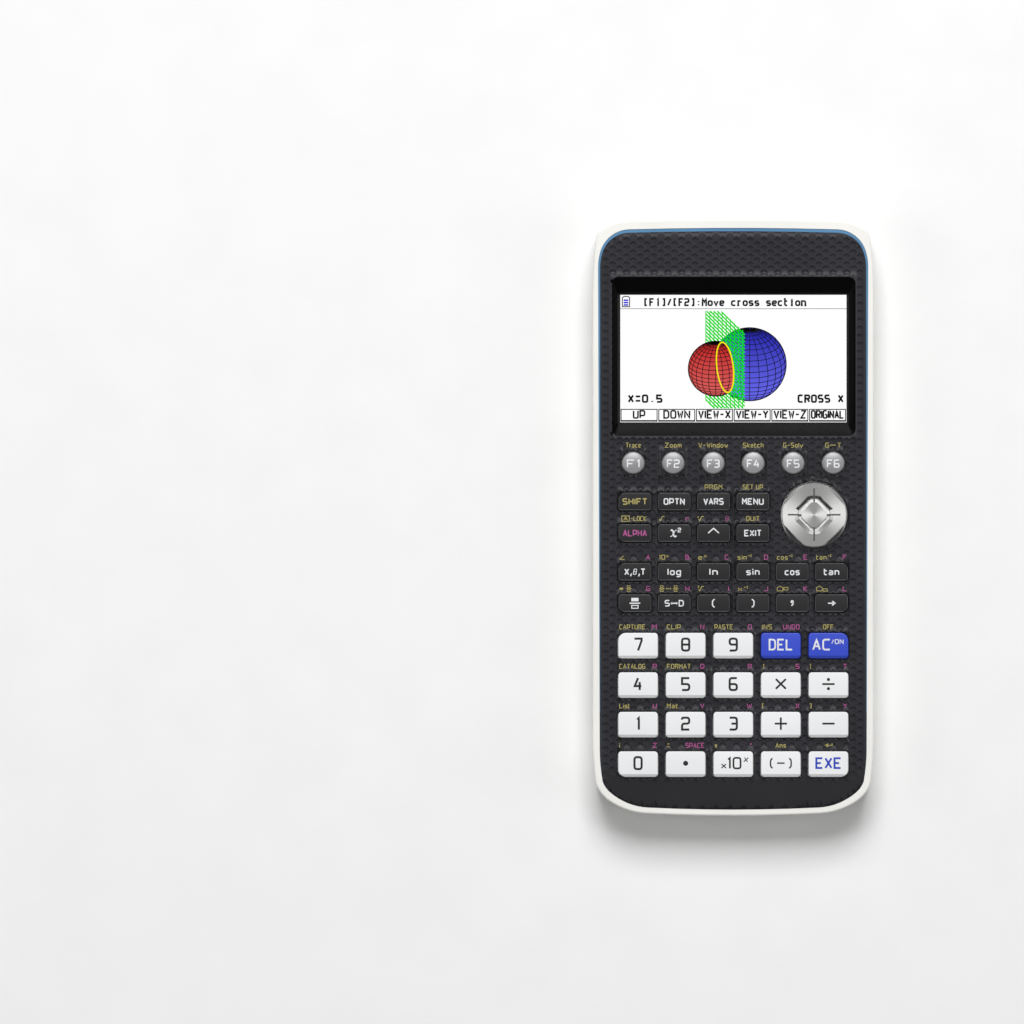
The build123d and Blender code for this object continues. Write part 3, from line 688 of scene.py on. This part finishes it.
def pressing_block(low, high, bottom, openings):
    """Corners and faces of a closed block whose top carries rows of arrowheads. high.z is the face."""
    first = int(low.x // MARK_PITCH)
    last = int(high.x // MARK_PITCH) + 1
    half = MARK_PITCH / 2
    inner_drop = MARK_DROP * (1 - MARK_EDGE / half)
    lines = []
    vertices = []

    def add_line(x, drop, marks):
        line = []
        for y, share in with_borders(marks, spans_at(x, openings), drop):
            vertices.append((x, y, high.z - SKIM - share * mark_depth(x, y)))
            line.append((y + drop, len(vertices) - 1))
        lines.append(line)

    for column in range(first, last + 1):
        phase = (column % 2) * MARK_PERIOD / 2
        x = column * MARK_PITCH
        both = (phase, MARK_PERIOD / 2 - phase)
        add_line(x, MARK_DROP, {m for p in both for m in arm_marks(low.y, high.y, p, MARK_DROP, 0)})
        if column < last:
            for away, drop in ((MARK_EDGE, inner_drop), (half, 0), (MARK_PITCH - MARK_EDGE, inner_drop)):
                add_line(x + away, drop, arm_marks(low.y, high.y, phase, drop, 1))
    faces = []
    for left, right in zip(lines, lines[1:]):
        zipped(left, right, faces)
    base = len(vertices)
    for line in (lines[0], lines[-1]):
        for end in (line[0], line[-1]):
            x, y, _ = vertices[end[1]]
            vertices.append((x, y, bottom))
    near_left, far_left, near_right, far_right = range(base, base + 4)
    faces.append((near_left, far_left, far_right, near_right))
    faces.append((far_left, near_left) + tuple(i for _, i in lines[0]))
    faces.append((near_right, far_right) + tuple(i for _, i in reversed(lines[-1])))
    faces.append((near_left, near_right) + tuple(line[0][1] for line in reversed(lines)))
    faces.append((far_right, far_left) + tuple(line[-1][1] for line in lines))
    return vertices, faces


def make_panel(look):
    """The front cover with arrowheads pressed into its face, in place of the plain CAD one."""
    low, high = [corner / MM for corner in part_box("front_cover")]
    margin = Vector((FACE_MARGIN, FACE_MARGIN, 0))
    openings = find_openings()
    vertices, faces = pressing_block(low - margin, high + margin, low.z - FACE_MARGIN, openings)
    panel = new_piece("textured_panel", vertices, faces, look["panel"], "casing")
    cover = NODES["front_cover"].copy()
    cover.data = NODES["front_cover"].data.copy()
    cover.parent = None
    bpy.context.scene.collection.objects.link(cover)
    weld(cover.data)
    cut = panel.modifiers.new("cut", "BOOLEAN")
    cut.operation = "INTERSECT"
    cut.solver = "MANIFOLD"
    cut.object = cover
    apply_modifiers(panel)
    bpy.data.objects.remove(cover)
    set_materials(panel.data, [look["panel"], look["recess"], look["panel_painted_shade"]])
    finish_panel(panel.data, openings)
    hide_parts("front_cover")


def weld(mesh):
    """Joins corners that lie on each other, so that the mesh is closed."""
    work = bmesh.new()
    work.from_mesh(mesh)
    bmesh.ops.remove_doubles(work, verts=work.verts, dist=1e-7)
    work.to_mesh(mesh)
    work.free()


def apply_modifiers(thing):
    """Makes the mesh what its modifiers show."""
    graph = bpy.context.evaluated_depsgraph_get()
    graph.update()
    made = bpy.data.meshes.new_from_object(thing.evaluated_get(graph))
    thing.modifiers.clear()
    thing.data = made


def facing(polygon):
    """A polygon's direction, rounded so that the parts of one plane share it."""
    return tuple(round(c, 2) for c in polygon.normal)


def finish_panel(mesh, openings):
    """Keeps flat surfaces crisp, shades rounded edges smooth and picks each facet's material: 0 panel,
    1 recess, 2 painted shade on the steep sides of the marks, and painted shadow on the borders and walls of
    the keys' and the pad's openings."""
    spread = {}
    for polygon in mesh.polygons:
        spread[facing(polygon)] = spread.get(facing(polygon), 0) + polygon.area
    for polygon in mesh.polygons:
        x, y, _ = polygon.center / MM
        rise = polygon.normal.z
        bordered = in_opening(x, y, openings)
        marked = rise > WALL and mark_depth(x, y) > SHALLOW and not bordered
        polygon.use_smooth = not marked and spread[facing(polygon)] < PLANE_AREA
        if rise < LEVEL and RECESS[0] < x < RECESS[2] and RECESS[1] < y < RECESS[3]:
            polygon.material_index = 1
        # painted shade on the marks' steep sides, painted shadow on the borders round the keys and the pad
        elif (marked and rise < STEEP) or (bordered and y < RECESS[1] - OPENING_CLEAR):
            polygon.material_index = 2
        else:
            polygon.material_index = 0
    mesh.set_sharp_from_angle(angle=SHARP)


# ---- legends

# What the keys say: the large keys' numerals, then words with their widths in mm.
NUMERALS = "7894561230"
WORDS = {
    "shift": ("SHIFT", 7.9), "optn": ("OPTN", 6.7), "vars": ("VARS", 6.4), "menu": ("MENU", 6.9),
    "alpha": ("ALPHA", 7.6), "exit": ("EXIT", 5.5), "xtheta": ("X,θ,T", 6.7), "log": ("log", 4.3),
    "ln": ("ln", 2.7), "sin": ("sin", 4.3), "cos": ("cos", 4.8), "tan": ("tan", 4.9),
    "sd": ("S↔D", 6.1), "open": ("(", None), "close": (")", None), "arrow": ("→", 2.6),
    "power": ("^", 3.8),
}
OWN_INKS = {"shift": "yellow_ink", "alpha": "magenta_ink", "exe": "blue_ink"}
WORD_HEIGHTS = {"(": 2.9, ")": 2.9, "→": 2.4, "^": 3.4}
CAPITALS, SMALL_LETTERS = 2.1, 2.2     # heights of the other words
SIGN_STROKE = 0.6
# Legends on the panel above each key: at its left in yellow with its width, at its right in magenta.
ABOVE = {
    "xtheta": ("∠", 1.7, "A"), "log": ("10<x>", 3.1, "B"), "ln": ("e<x>", 2.7, "C"),
    "sin": ("sin<-1>", 4.4, "D"), "cos": ("cos<-1>", 4.9, "E"), "tan": ("tan<-1>", 4.7, "F"),
    "fraction": (None, 0, "G"), "sd": (None, 0, "H"), "open": ("√", 1.9, "I"),
    "close": ("x<-1>", 3.2, "J"), "comma": (None, 0, "K"), "arrow": (None, 0, "L"),
    "square": ("√", 1.9, "r"), "power": ("√", 1.9, "θ"),
    "7": ("CAPTURE", 8.3, "M"), "8": ("CLIP", 4.4, "N"), "9": ("PASTE", 5.9, "O"),
    "del": ("INS", 3.2, "UNDO"), "4": ("CATALOG", 8.3, "P"), "5": ("FORMAT", 7.6, "Q"),
    "6": (None, 0, "R"), "times": ("{", None, "S"), "divide": ("}", None, "T"), "1": ("List", 3.4, "U"),
    "2": ("Mat", 3.6, "V"), "3": (None, 0, "W"), "plus": ("[", None, "X"), "minus": ("]", None, "Y"),
    "0": ("i", None, "Z"), "point": ("=", None, "SPACE"), "exp": ("π", None, '"'),
}
CENTRED_ABOVE = {
    "f1": ("Trace", 4.8), "f2": ("Zoom", 5.3), "f3": ("V-Window", 9.4), "f4": ("Sketch", 6.6),
    "f5": ("G-Solv", 6.4), "f6": ("G↔T", 5.1), "vars": ("PRGM", 5.6), "menu": ("SET UP", 6.5),
    "exit": ("QUIT", 4.3), "ac": ("OFF", 3.4), "negative": ("Ans", 3.4), "exe": ("↵", 2.6),
}
FLANGE = 0.75          # a key's flange is this much wider than its cap, all round
LEGEND_CAP = 1.6
LEGEND_STROKE, THIN_STROKE = 0.24, 0.2
LETTER_ABOVE = 1.3     # width of a single letter above a key
WIDER_ABOVE = {"UNDO": 5.2, "SPACE": 6.0, "M": 1.6, "W": 1.6, "I": None, '"': None}
LEGEND_INSET = 0.3     # from a key's side to the legend above it
LEGEND_STEP, LEGEND_OVER = 5.0, 0.01   # the legends' longest part, and how far they stand over the face
ROUND_KEY, DARK_KEY = 7.5, 11.0        # caps narrower than these are round keys and dark keys
LEGEND_RISE = {"round": 5.6, "dark": 4.6, "large": 5.95}


def cap_of(key):
    """(left, low, right, high) of a key's cap in mm."""
    low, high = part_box("key_" + key)
    return (low.x / MM + FLANGE, low.y / MM + FLANGE, high.x / MM - FLANGE, high.y / MM - FLANGE)


def kind_of(key):
    """Whether a key is a round, dark or large one."""
    left, _, right, _ = cap_of(key)
    if right - left < ROUND_KEY:
        return "round"
    return "dark" if right - left < DARK_KEY else "large"


def middle_of(key):
    """Middle of a key's cap."""
    left, low, right, high = cap_of(key)
    return (left + right) / 2, (low + high) / 2


def above(key):
    """Left end and middle height of the legends above a key."""
    return cap_of(key)[0], middle_of(key)[1] + LEGEND_RISE[kind_of(key)]


def ink_of(key):
    """Black on pale keys and white on the others, apart from those with an ink of their own."""
    pale = kind_of(key) == "large" and "key_" + key not in BLUE_KEYS
    return OWN_INKS.get(key, "black_ink" if pale else "white_ink")


def letter_keys(look):
    """The legends printed on the keys, one piece a key."""
    for digit in NUMERALS:
        finish_key(digit, look, lambda ink, x, y: numeral(ink, digit, x, y))
    for key, (text, width) in WORDS.items():
        finish_key(key, look, lambda ink, x, y: word(ink, text, x, y, width))
    for key in ("f1", "f2", "f3", "f4", "f5", "f6"):
        finish_key(key, look, lambda ink, x, y: write(ink, key.upper(), x, y - 0.25, 2.7, 0.44, 4.1))
    for key, draw in SPECIAL_KEYS.items():
        finish_key(key, look, draw)


def finish_key(key, look, draw):
    """Draws one key's legend and makes the piece."""
    ink = Print(surface_of(NODES["key_" + key]))
    draw(ink, *middle_of(key))
    ink.piece("legend_" + key, look[ink_of(key)], key + "_key")


def numeral(ink, digit, x, y):
    write(ink, digit, x, y + 0.35, 4.45, 0.68, 2.95 if digit not in "14" else None)


def word(ink, text, x, y, width):
    height = WORD_HEIGHTS.get(text, SMALL_LETTERS if text.islower() else CAPITALS)
    write(ink, text, x, y, height, 0.38, width)


def draw_square(ink, x, y):
    """A slanted x with thick and thin strokes, and a small raised two."""
    ink.stroke([(x - 1.1, y + 0.75), (x - 0.75, y + 1.0), (x - 0.35, y + 0.6), (x - 0.15, y - 0.9),
                (x + 0.3, y - 1.15), (x + 0.7, y - 0.85)], 0.46)
    ink.stroke([(x + 0.85, y + 0.95), (x + 0.45, y + 0.9), (x - 0.85, y - 1.05), (x - 1.25, y - 1.05)], 0.22)
    write(ink, "2", x + 1.65, y + 0.95, 1.5, 0.3, 1.1)


def draw_fraction(ink, x, y):
    """A filled box over a bar over an empty box."""
    ink.fill(corners(x - 1.15, y + 0.6, x + 1.15, y + 1.7))
    ink.stroke([(x - 1.7, y), (x + 1.7, y)], 0.38)
    ink.box(x - 1.0, y - 1.6, x + 1.0, y - 0.7, 0.3)


def draw_comma(ink, x, y):
    ink.dot(x, y + 0.45, 0.52, 16)
    ink.stroke([(x + 0.32, y + 0.4), (x + 0.3, y - 0.2), (x - 0.25, y - 0.85)], 0.38)


def draw_times(ink, x, y):
    for sign in (-1, 1):
        ink.stroke([(x - 1.6, y + 0.4 - 1.55 * sign), (x + 1.6, y + 0.4 + 1.55 * sign)], SIGN_STROKE)


def draw_minus(ink, x, y):
    ink.stroke([(x - 1.95, y + 0.35), (x + 1.95, y + 0.35)], SIGN_STROKE)


def draw_plus(ink, x, y):
    draw_minus(ink, x, y)
    ink.stroke([(x, y - 1.6), (x, y + 2.3)], SIGN_STROKE)


def draw_divide(ink, x, y):
    draw_minus(ink, x, y)
    for rise in (1.8, -1.1):
        ink.dot(x, y + rise, 0.5)


def draw_power_of_ten(ink, x, y):
    write(ink, "x", x - 3.0, y - 0.25, 2.3, 0.34, 1.8)
    write(ink, "10", x + 0.35, y + 0.35, 3.9, 0.56, 4.5)
    write(ink, "x", x + 3.9, y + 1.75, 2.3, 0.3, 1.5, slant=0.2)


def draw_negative(ink, x, y):
    write(ink, "(", x - 2.95, y + 0.3, 3.6, 0.46, 1.1)
    ink.stroke([(x - 1.2, y + 0.35), (x + 1.2, y + 0.35)], 0.46)
    write(ink, ")", x + 2.95, y + 0.3, 3.6, 0.46, 1.1)


def draw_all_clear(ink, x, y):
    write(ink, "AC", x - 2.2, y + 0.35, 3.7, 0.54, 5.8)
    write(ink, "/", x + 1.35, y + 1.3, 1.5, 0.22, 0.8)
    write(ink, "ON", x + 3.4, y + 1.3, 1.55, 0.26, 2.8)


SPECIAL_KEYS = {
    "square": draw_square, "fraction": draw_fraction, "comma": draw_comma, "times": draw_times,
    "plus": draw_plus, "minus": draw_minus, "divide": draw_divide, "exp": draw_power_of_ten,
    "point": lambda ink, x, y: ink.dot(x, y + 0.3, 0.8), "negative": draw_negative, "ac": draw_all_clear,
    "del": lambda ink, x, y: write(ink, "DEL", x, y + 0.35, 3.7, 0.54, 7.7),
    "exe": lambda ink, x, y: write(ink, "EXE", x, y + 0.35, 3.7, 0.62, 8.3),
}


def letter_panel(look):
    """The legends printed on the panel, a yellow piece and a magenta piece."""
    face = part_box("front_cover")[1].z / MM
    yellow, magenta = [Print(lambda x, y: face, LEGEND_STEP, LEGEND_OVER, MARK_DEPTH) for _ in range(2)]
    for key, (text, width, right_text) in ABOVE.items():
        left, y = above(key)
        right = cap_of(key)[2]
        if text:
            write_above(yellow, text, left + LEGEND_INSET, y, width, 0)
        width = WIDER_ABOVE.get(right_text, LETTER_ABOVE)
        write_above(magenta, right_text, right - LEGEND_INSET, y, width, 1)
    for key, (text, width) in CENTRED_ABOVE.items():
        write_above(yellow, text, middle_of(key)[0], above(key)[1], width)
    draw_small_icons(yellow)
    yellow.piece("panel_legends_yellow", look["yellow_ink"], "casing")
    magenta.piece("panel_legends_magenta", look["magenta_ink"], "casing")


def write_above(ink, text, x, y, width, at=0.5):
    write(ink, text, x, y, LEGEND_CAP, LEGEND_STROKE, width, at)


def draw_small_icons(ink):
    """The legends that are pictures: lock, roots' indices, fractions, and clipboard signs."""
    left, y = above("alpha")
    ink.box(left + 1.0, y - 0.85, left + 3.4, y + 0.85, LEGEND_STROKE)
    write(ink, "A", left + 2.2, y, 1.2, LEGEND_STROKE, 1.4)
    write_above(ink, "-LOCK", left + 6.3, y, 5.0)
    for key, index in (("power", "x"), ("open", "3")):
        left, y = above(key)
        write(ink, index, left + LEGEND_INSET, y + 0.6, 0.8, 0.18, 0.5)
    left, y = above("fraction")
    ink.fill(corners(left + 0.3, y - 0.3, left + 1.4, y + 0.3))
    draw_stack(ink, left + 3.2, y)
    left, y = above("sd")
    draw_stack(ink, left + 1.2, y)
    write(ink, "↔", left + 3.4, y, LEGEND_CAP, THIN_STROKE, 1.8)
    draw_stack(ink, left + 5.6, y)
    for key, turn in (("comma", 1), ("arrow", -1)):
        left, y = above(key)
        ink.stroke([(left + 0.4, y - 0.7), (left + 2.2, y - 0.7), (left + 2.2, y + 0.3),
                    (left + 1.3, y + 0.8), (left + 0.4, y + 0.3)], THIN_STROKE, True)
        ink.box(left + 2.5, y - 0.6 + 0.2 * turn, left + 3.8, y + 0.2 + 0.2 * turn, THIN_STROKE)


def draw_stack(ink, x, y):
    """A small box over a bar over a small box."""
    for sign in (-1, 1):
        ink.box(x - 0.45, y + 0.62 * sign - 0.28, x + 0.45, y + 0.62 * sign + 0.28, 0.18)
    ink.stroke([(x - 0.9, y), (x + 0.9, y)], THIN_STROKE)


# ---- the picture on the display

PICTURE_WIDTH, PICTURE_HEIGHT = 71.7, 40.4
PICTURE_SHIFT = 0.1    # to the right of the display's middle
PICTURE_LOW = 30.1     # its low edge
LAYER = 0.008          # height between the picture's layers
LAYER_HALF = 0.4 * LAYER
LIT_SPECULAR = 0.05    # specular level of the picture's colours
LIT_BLACK = (0.004, 0.004, 0.006)
SOFT_KEYS = (("UP", 4.0), ("DOWN", 8.6), ("VIEW-X", 10.4), ("VIEW-Y", 10.4), ("VIEW-Z", 10.4),
             ("ORIGINAL", 10.6))


def layer_print(level):
    """A print on one layer of the picture, just above the display's glass."""
    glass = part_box("display_module")[1].z / MM
    z = glass + level * LAYER
    return Print(lambda x, y: z, 2.0, LAYER_HALF, LAYER_HALF)


def finish_layer(name, ink, material):
    """Makes a piece of the picture."""
    ink.piece("picture_" + name, material, "casing")


def graded(name, top, bottom, ball):
    """A lit colour that pales from the top of a ball on the display to its bottom."""
    _, y, radius = ball
    material = lit(name, top, 0.95)
    ramp = add_node(material, "ValToRGB")
    ramp.color_ramp.elements[0].color = (*linear(bottom), 1)
    ramp.color_ramp.elements[1].color = (*linear(top), 1)
    link(share_of_y(material, y - radius, y + radius), ramp.inputs["Fac"])
    link(ramp.outputs["Color"], shader_of(material).inputs["Emission Color"])
    return material


BLUE_BALL = (5.25, 48.5, 11.65)    # x, y and radius
RED_BALL = (-5.5, 47.1, 8.75)
BALL_TILT = radians(22)            # the balls' tops lean to the viewer
LATITUDES, LONGITUDES = 9, 15      # degrees between the lines on them
BALL_STEPS = 30
RING = (-2.55, 47.5, 2.6, 8.0)     # x, y and both radii
RING_LEAN = radians(6.8)
RING_STEPS = 20                    # of the half that shows
PLANE = ((-8.7, 36.9), (-6.4, 34.5), (3.7, 34.5), (3.7, 58.8), (-3.9, 65.35), (-8.7, 65.35))


def ball_lines(ink, x, y, radius, keep):
    """The lines of latitude and longitude on the near side of a ball, where keep allows them."""

    def place(latitude, longitude):
        across = cos(latitude) * sin(longitude)
        toward = cos(latitude) * cos(longitude)
        up = sin(latitude)
        return (x + radius * across, y + radius * (up * cos(BALL_TILT) - toward * sin(BALL_TILT)),
                toward * cos(BALL_TILT) + up * sin(BALL_TILT))

    turns = [pi * i / BALL_STEPS for i in range(BALL_STEPS + 1)]
    runs = []
    for latitude in range(-90 + LATITUDES, 90, LATITUDES):
        for start in (-pi / 2, pi / 2):
            runs.append([place(radians(latitude), start + turn) for turn in turns])
    for longitude in range(0, 360, LONGITUDES):
        runs.append([place(turn - pi / 2, radians(longitude)) for turn in turns])
    for run in runs:
        line = []
        for px, py, depth in run + [(0, 0, -1)]:
            if depth > 0 and keep(px, py):
                line.append((px, py))
                continue
            if len(line) > 1:
                ink.stroke(line, 0.22)
            line = []


def ring_side(x, y):
    """How far a place is from the ring's middle, below 1 inside it, and on which side of its long axis."""
    u = (x - RING[0]) * cos(RING_LEAN) + (y - RING[1]) * sin(RING_LEAN)
    v = (y - RING[1]) * cos(RING_LEAN) - (x - RING[0]) * sin(RING_LEAN)
    return hypot(u / RING[2], v / RING[3]), u


def in_front(x, y):
    """Whether a place on the red ball is on the near side of the plane."""
    reach, u = ring_side(x, y)
    return u < 0 or reach < 1


def red_outline():
    """The part of the red ball that the plane leaves to be seen."""
    x, y, radius = RED_BALL
    ring = arc(*RING, -pi / 2, pi / 2, RING_STEPS, RING_LEAN)
    first = atan2(ring[-1][1] - y, ring[-1][0] - x)
    last = atan2(ring[0][1] - y, ring[0][0] - x) + 2 * pi
    return ring + arc(x, y, radius, radius, first, last, 48)[1:-1]


def hatch(ink, outline):
    """Slanting lines inside a convex anticlockwise outline, crossed by upright ones."""
    for slope, spacing, width in ((-1.0, 0.8, 0.46), (None, 1.3, 0.28)):
        along = Vector((0, 1)) if slope is None else Vector((1, slope)).normalized()
        across = Vector((-along.y, along.x))
        offsets = [Vector(p).dot(across) for p in outline]
        offset = min(offsets) + spacing / 2
        while offset < max(offsets):
            ends = clipped(across * offset, along, outline)
            if ends[1] > ends[0]:
                ink.stroke([tuple(across * offset + along * t) for t in ends], width)
            offset += spacing


def clipped(point, along, outline):
    """Start and end of the part of a line that lies inside a convex anticlockwise outline."""
    first, last = -inf, inf
    for a, b in zip(outline, outline[1:] + outline[:1]):
        edge = Vector(b) - Vector(a)
        inward = Vector((-edge.y, edge.x))
        speed = inward.dot(along)
        gap = inward.dot(Vector(a) - point)
        if abs(speed) < 1e-9:
            if gap > 0:
                return 1, 0
        elif speed > 0:
            first = max(first, gap / speed)
        else:
            last = min(last, gap / speed)
    return first, last


def draw_picture():
    """The picture on the display, in thin layers from the white ground up."""
    left = centre_of("display_module").x / MM + PICTURE_SHIFT - PICTURE_WIDTH / 2
    right = left + PICTURE_WIDTH
    ground = layer_print(1)
    ground.fill(corners(left, PICTURE_LOW, right, PICTURE_LOW + PICTURE_HEIGHT))
    finish_layer("ground", ground, lit("lit_white", (255, 255, 255), 1.12))
    black = new_material("lit_black", LIT_BLACK, 0.5, Specular_IOR_Level=LIT_SPECULAR)
    vary_color(black, noise(black, 200, 1), LIT_BLACK, (0.008, 0.008, 0.01))
    draw_balls(black)
    draw_words(black, left, right)


def draw_balls(black):
    """Two balls cut by a plane, with their lines and the ring where they meet it."""
    blue = layer_print(2)
    blue.dot(*BLUE_BALL, 64)
    finish_layer("blue_ball", blue, graded("lit_blue", (14, 14, 176), (112, 112, 255), BLUE_BALL))
    plane = layer_print(4)
    hatch(plane, PLANE)
    finish_layer("plane", plane, lit("lit_green", (10, 232, 34), 0.95))
    red = layer_print(5)
    red.fill(red_outline())
    finish_layer("red_ball", red, graded("lit_red", (205, 8, 8), (236, 104, 100), RED_BALL))
    lines = layer_print(3)
    ball_lines(lines, *BLUE_BALL, lambda px, py: True)
    lines.stroke(circle(*BLUE_BALL, 64), 0.2, True)
    finish_layer("blue_lines", lines, black)
    over = layer_print(6)
    ball_lines(over, *RED_BALL, in_front)
    over.stroke(red_outline()[RING_STEPS:], 0.2)
    finish_layer("red_lines", over, black)
    ring = layer_print(7)
    ring.stroke(arc(*RING, 0, 2 * pi, 48, RING_LEAN)[:-1], 0.42, True)
    finish_layer("ring", ring, lit("lit_yellow", (255, 240, 10)))


def draw_words(black, left, right):
    """The picture's words, soft keys, header line and battery sign."""
    text = layer_print(3)
    typewrite(text, "[F1]/[F2]:Move cross section", -27.6, 68.2, 2.6, 0.56, 1.85)
    typewrite(text, "X=0.5", -32.4, 37.6, 2.7, 0.62, 2.25)
    typewrite(text, "CROSS X", 21.4, 37.6, 2.7, 0.62, 2.12)
    draw_soft_keys(text, left)
    text.stroke([(left, 66.1), (right, 66.1)], 0.16)
    text.stroke([(-35.1, 66.75), (-32.8, 66.75), (-32.8, 69.6), (-33.3, 70.0), (-34.6, 70.0), (-35.1, 69.6)],
                0.3, True)
    finish_layer("text", text, black)
    bars = layer_print(4)
    for y in (67.3, 68.05, 68.8):
        bars.stroke([(-34.7, y), (-33.2, y)], 0.5)
    finish_layer("battery_bars", bars, lit("lit_bar", (40, 40, 220)))


def draw_soft_keys(ink, left):
    """Six boxes along the picture's low edge, with their words."""
    step = PICTURE_WIDTH / len(SOFT_KEYS)
    for i, (text, width) in enumerate(SOFT_KEYS):
        start = left + 0.25 + i * step
        end = start + step - 0.55
        ink.box(start, 30.45, end, 34.2, 0.3)
        ink.stroke([(start, 30.6), (end, 30.6)], 0.4)
        write(ink, text, (start + end) / 2, 32.6, 2.8, 0.52, width)


# ---- CAD nodes

LINE_DEPTH = (0.1, 0.55)    # mm under the pad's top: the floors of its lines and the middle of its walls
RING_FLOOR = 0.9
BOARD_UNDERSIDE = 10.19     # mm: everything under this is a chip or the reset switch
BLUE_KEYS = ("key_del", "key_ac")
PLAIN_NODES = {
    "rear_cover": "shell", "battery_cover": "shell", "front_cover": "panel", "accent_trim": "trim",
    "display_window": "window", "display_module": "bezel", "keypad_membrane": "rubber",
    "battery_contacts": "steel", "case_screws": "screw", "port_sockets": "steel", "cursor_pivot": "black",
}


def dress_faces(node, materials, choose):
    """Gives each face of a CAD node the material whose index choose picks for it."""
    set_materials(NODES[node].data, materials)
    for polygon in NODES[node].data.polygons:
        polygon.material_index = choose(polygon)


def on_highlit_edge(face):
    """Whether a face is on the rounded near or side edge of a cap, where the dark keys get a painted
    highlight.
    """
    return 0.3 < face.normal.z < 0.93 and face.normal.y < 0.25


def pad_face(face, top):
    """Which of the pad's materials a face has: 0 turned metal, 1 dark line floors and the far wall in
    painted shade, 2 the satin ring floor, lighter in colour as a painted reflection.
    """
    depth = top - face.center.z / MM
    # the far wall, facing away from the main light, is painted dark as shade
    if LINE_DEPTH[0] < depth < LINE_DEPTH[1] and (face.normal.z > LEVEL or face.normal.y < -0.3):
        return 1
    # the ring floor: a satin finish whose lighter colour is a painted reflection
    if LINE_DEPTH[1] <= depth < RING_FLOOR and face.normal.z > LEVEL:
        return 2
    return 0


def dress_nodes(look):
    """Every CAD node gets its material."""
    for node, name in PLAIN_NODES.items():
        set_materials(NODES[node].data, [look[name]])
    for node in NODES:
        if node.startswith("key_"):
            dress_key(node, look)
    dress_faces("circuit_board", [look["board"], look["chip"]],
                lambda face: face.center.z < BOARD_UNDERSIDE * MM and face.normal.z < 0.5)
    pad_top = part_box("cursor_pad")[1].z / MM
    dress_faces("cursor_pad", [look["pad"], look["pad_dark_lines_and_shade"], look["pad_ring"]],
                lambda face: pad_face(face, pad_top))
    dress_faces("batteries", [look["cell"], look["steel"]], lambda face: abs(face.normal.y) > 0.7)


def dress_key(node, look):
    """Silver, dark with a painted highlight on their near and side edges, pale or blue."""
    kind = kind_of(node[4:])
    if kind == "dark":
        dress_faces(node, [look["key_dark"], look["key_edge"]], on_highlit_edge)
    else:
        name = "silver" if kind == "round" else "key_pale"
        set_materials(NODES[node].data, [look["key_blue" if node in BLUE_KEYS else name]])


# ---- stage

CAMERA_LENS, SENSOR = 600.0, 36.0    # mm: seen from far off
FRAME_WIDTH = 0.3244                 # metres across the picture at the face
CAMERA_AIM = (-0.07009, 0.00166)
FLOOR_REACH = 6.0


def make_camera():
    """Straight above, far away, with the object right of the middle."""
    data = bpy.data.cameras.new("camera")
    data.lens = CAMERA_LENS
    data.sensor_width = SENSOR
    distance = FRAME_WIDTH * CAMERA_LENS / SENSOR
    data.clip_end = 2 * distance
    camera = bpy.data.objects.new("camera", data)
    camera.location = (*CAMERA_AIM, cad_high.z + distance)
    bpy.context.scene.collection.objects.link(camera)
    bpy.context.scene.camera = camera


def add_light(name, azimuth, elevation, distance, size, power):
    """A square soft light that faces the object. Azimuth is counted from +Y towards +X, in degrees."""
    data = bpy.data.lights.new(name, "AREA")
    data.size = size
    data.energy = power
    light = bpy.data.objects.new(name, data)
    a, e = radians(azimuth), radians(elevation)
    away = Vector((sin(a) * cos(e), cos(a) * cos(e), sin(e)))
    light.location = away * distance
    light.rotation_euler = away.to_track_quat("Z", "Y").to_euler()
    bpy.context.scene.collection.objects.link(light)


def make_stage():
    """A plain pale floor, soft light and a plain view."""
    scene = bpy.context.scene
    scene.view_settings.view_transform = "Standard"
    world = bpy.data.worlds.new("studio")
    world.use_nodes = True
    world.node_tree.nodes["Background"].inputs["Color"].default_value = (1, 1, 1, 1)
    world.node_tree.nodes["Background"].inputs["Strength"].default_value = 0.16
    scene.world = world
    add_light("main_light", 0, 55, 2.0, 1.0, 36)
    add_light("left_light", -95, 30, 2.0, 1.0, 6)
    add_light("right_light", 95, 30, 2.0, 1.0, 6)
    add_light("near_light", 180, 40, 2.2, 1.2, 1.5)
    mesh = bpy.data.meshes.new("floor")
    square = corners(-FLOOR_REACH, -FLOOR_REACH, FLOOR_REACH, FLOOR_REACH)
    mesh.from_pydata([(x, y, 0) for x, y in square], [], [(0, 1, 2, 3)])
    floor = bpy.data.objects.new("floor", mesh)
    mesh.materials.append(moulded("floor_white", (244, 244, 244), 0.9, 0.01, 30, 0.0))
    scene.collection.objects.link(floor)


def main():
    look = make_materials()
    dress_nodes(look)
    make_panel(look)
    letter_keys(look)
    letter_panel(look)
    draw_picture()
    make_camera()
    make_stage()


main()
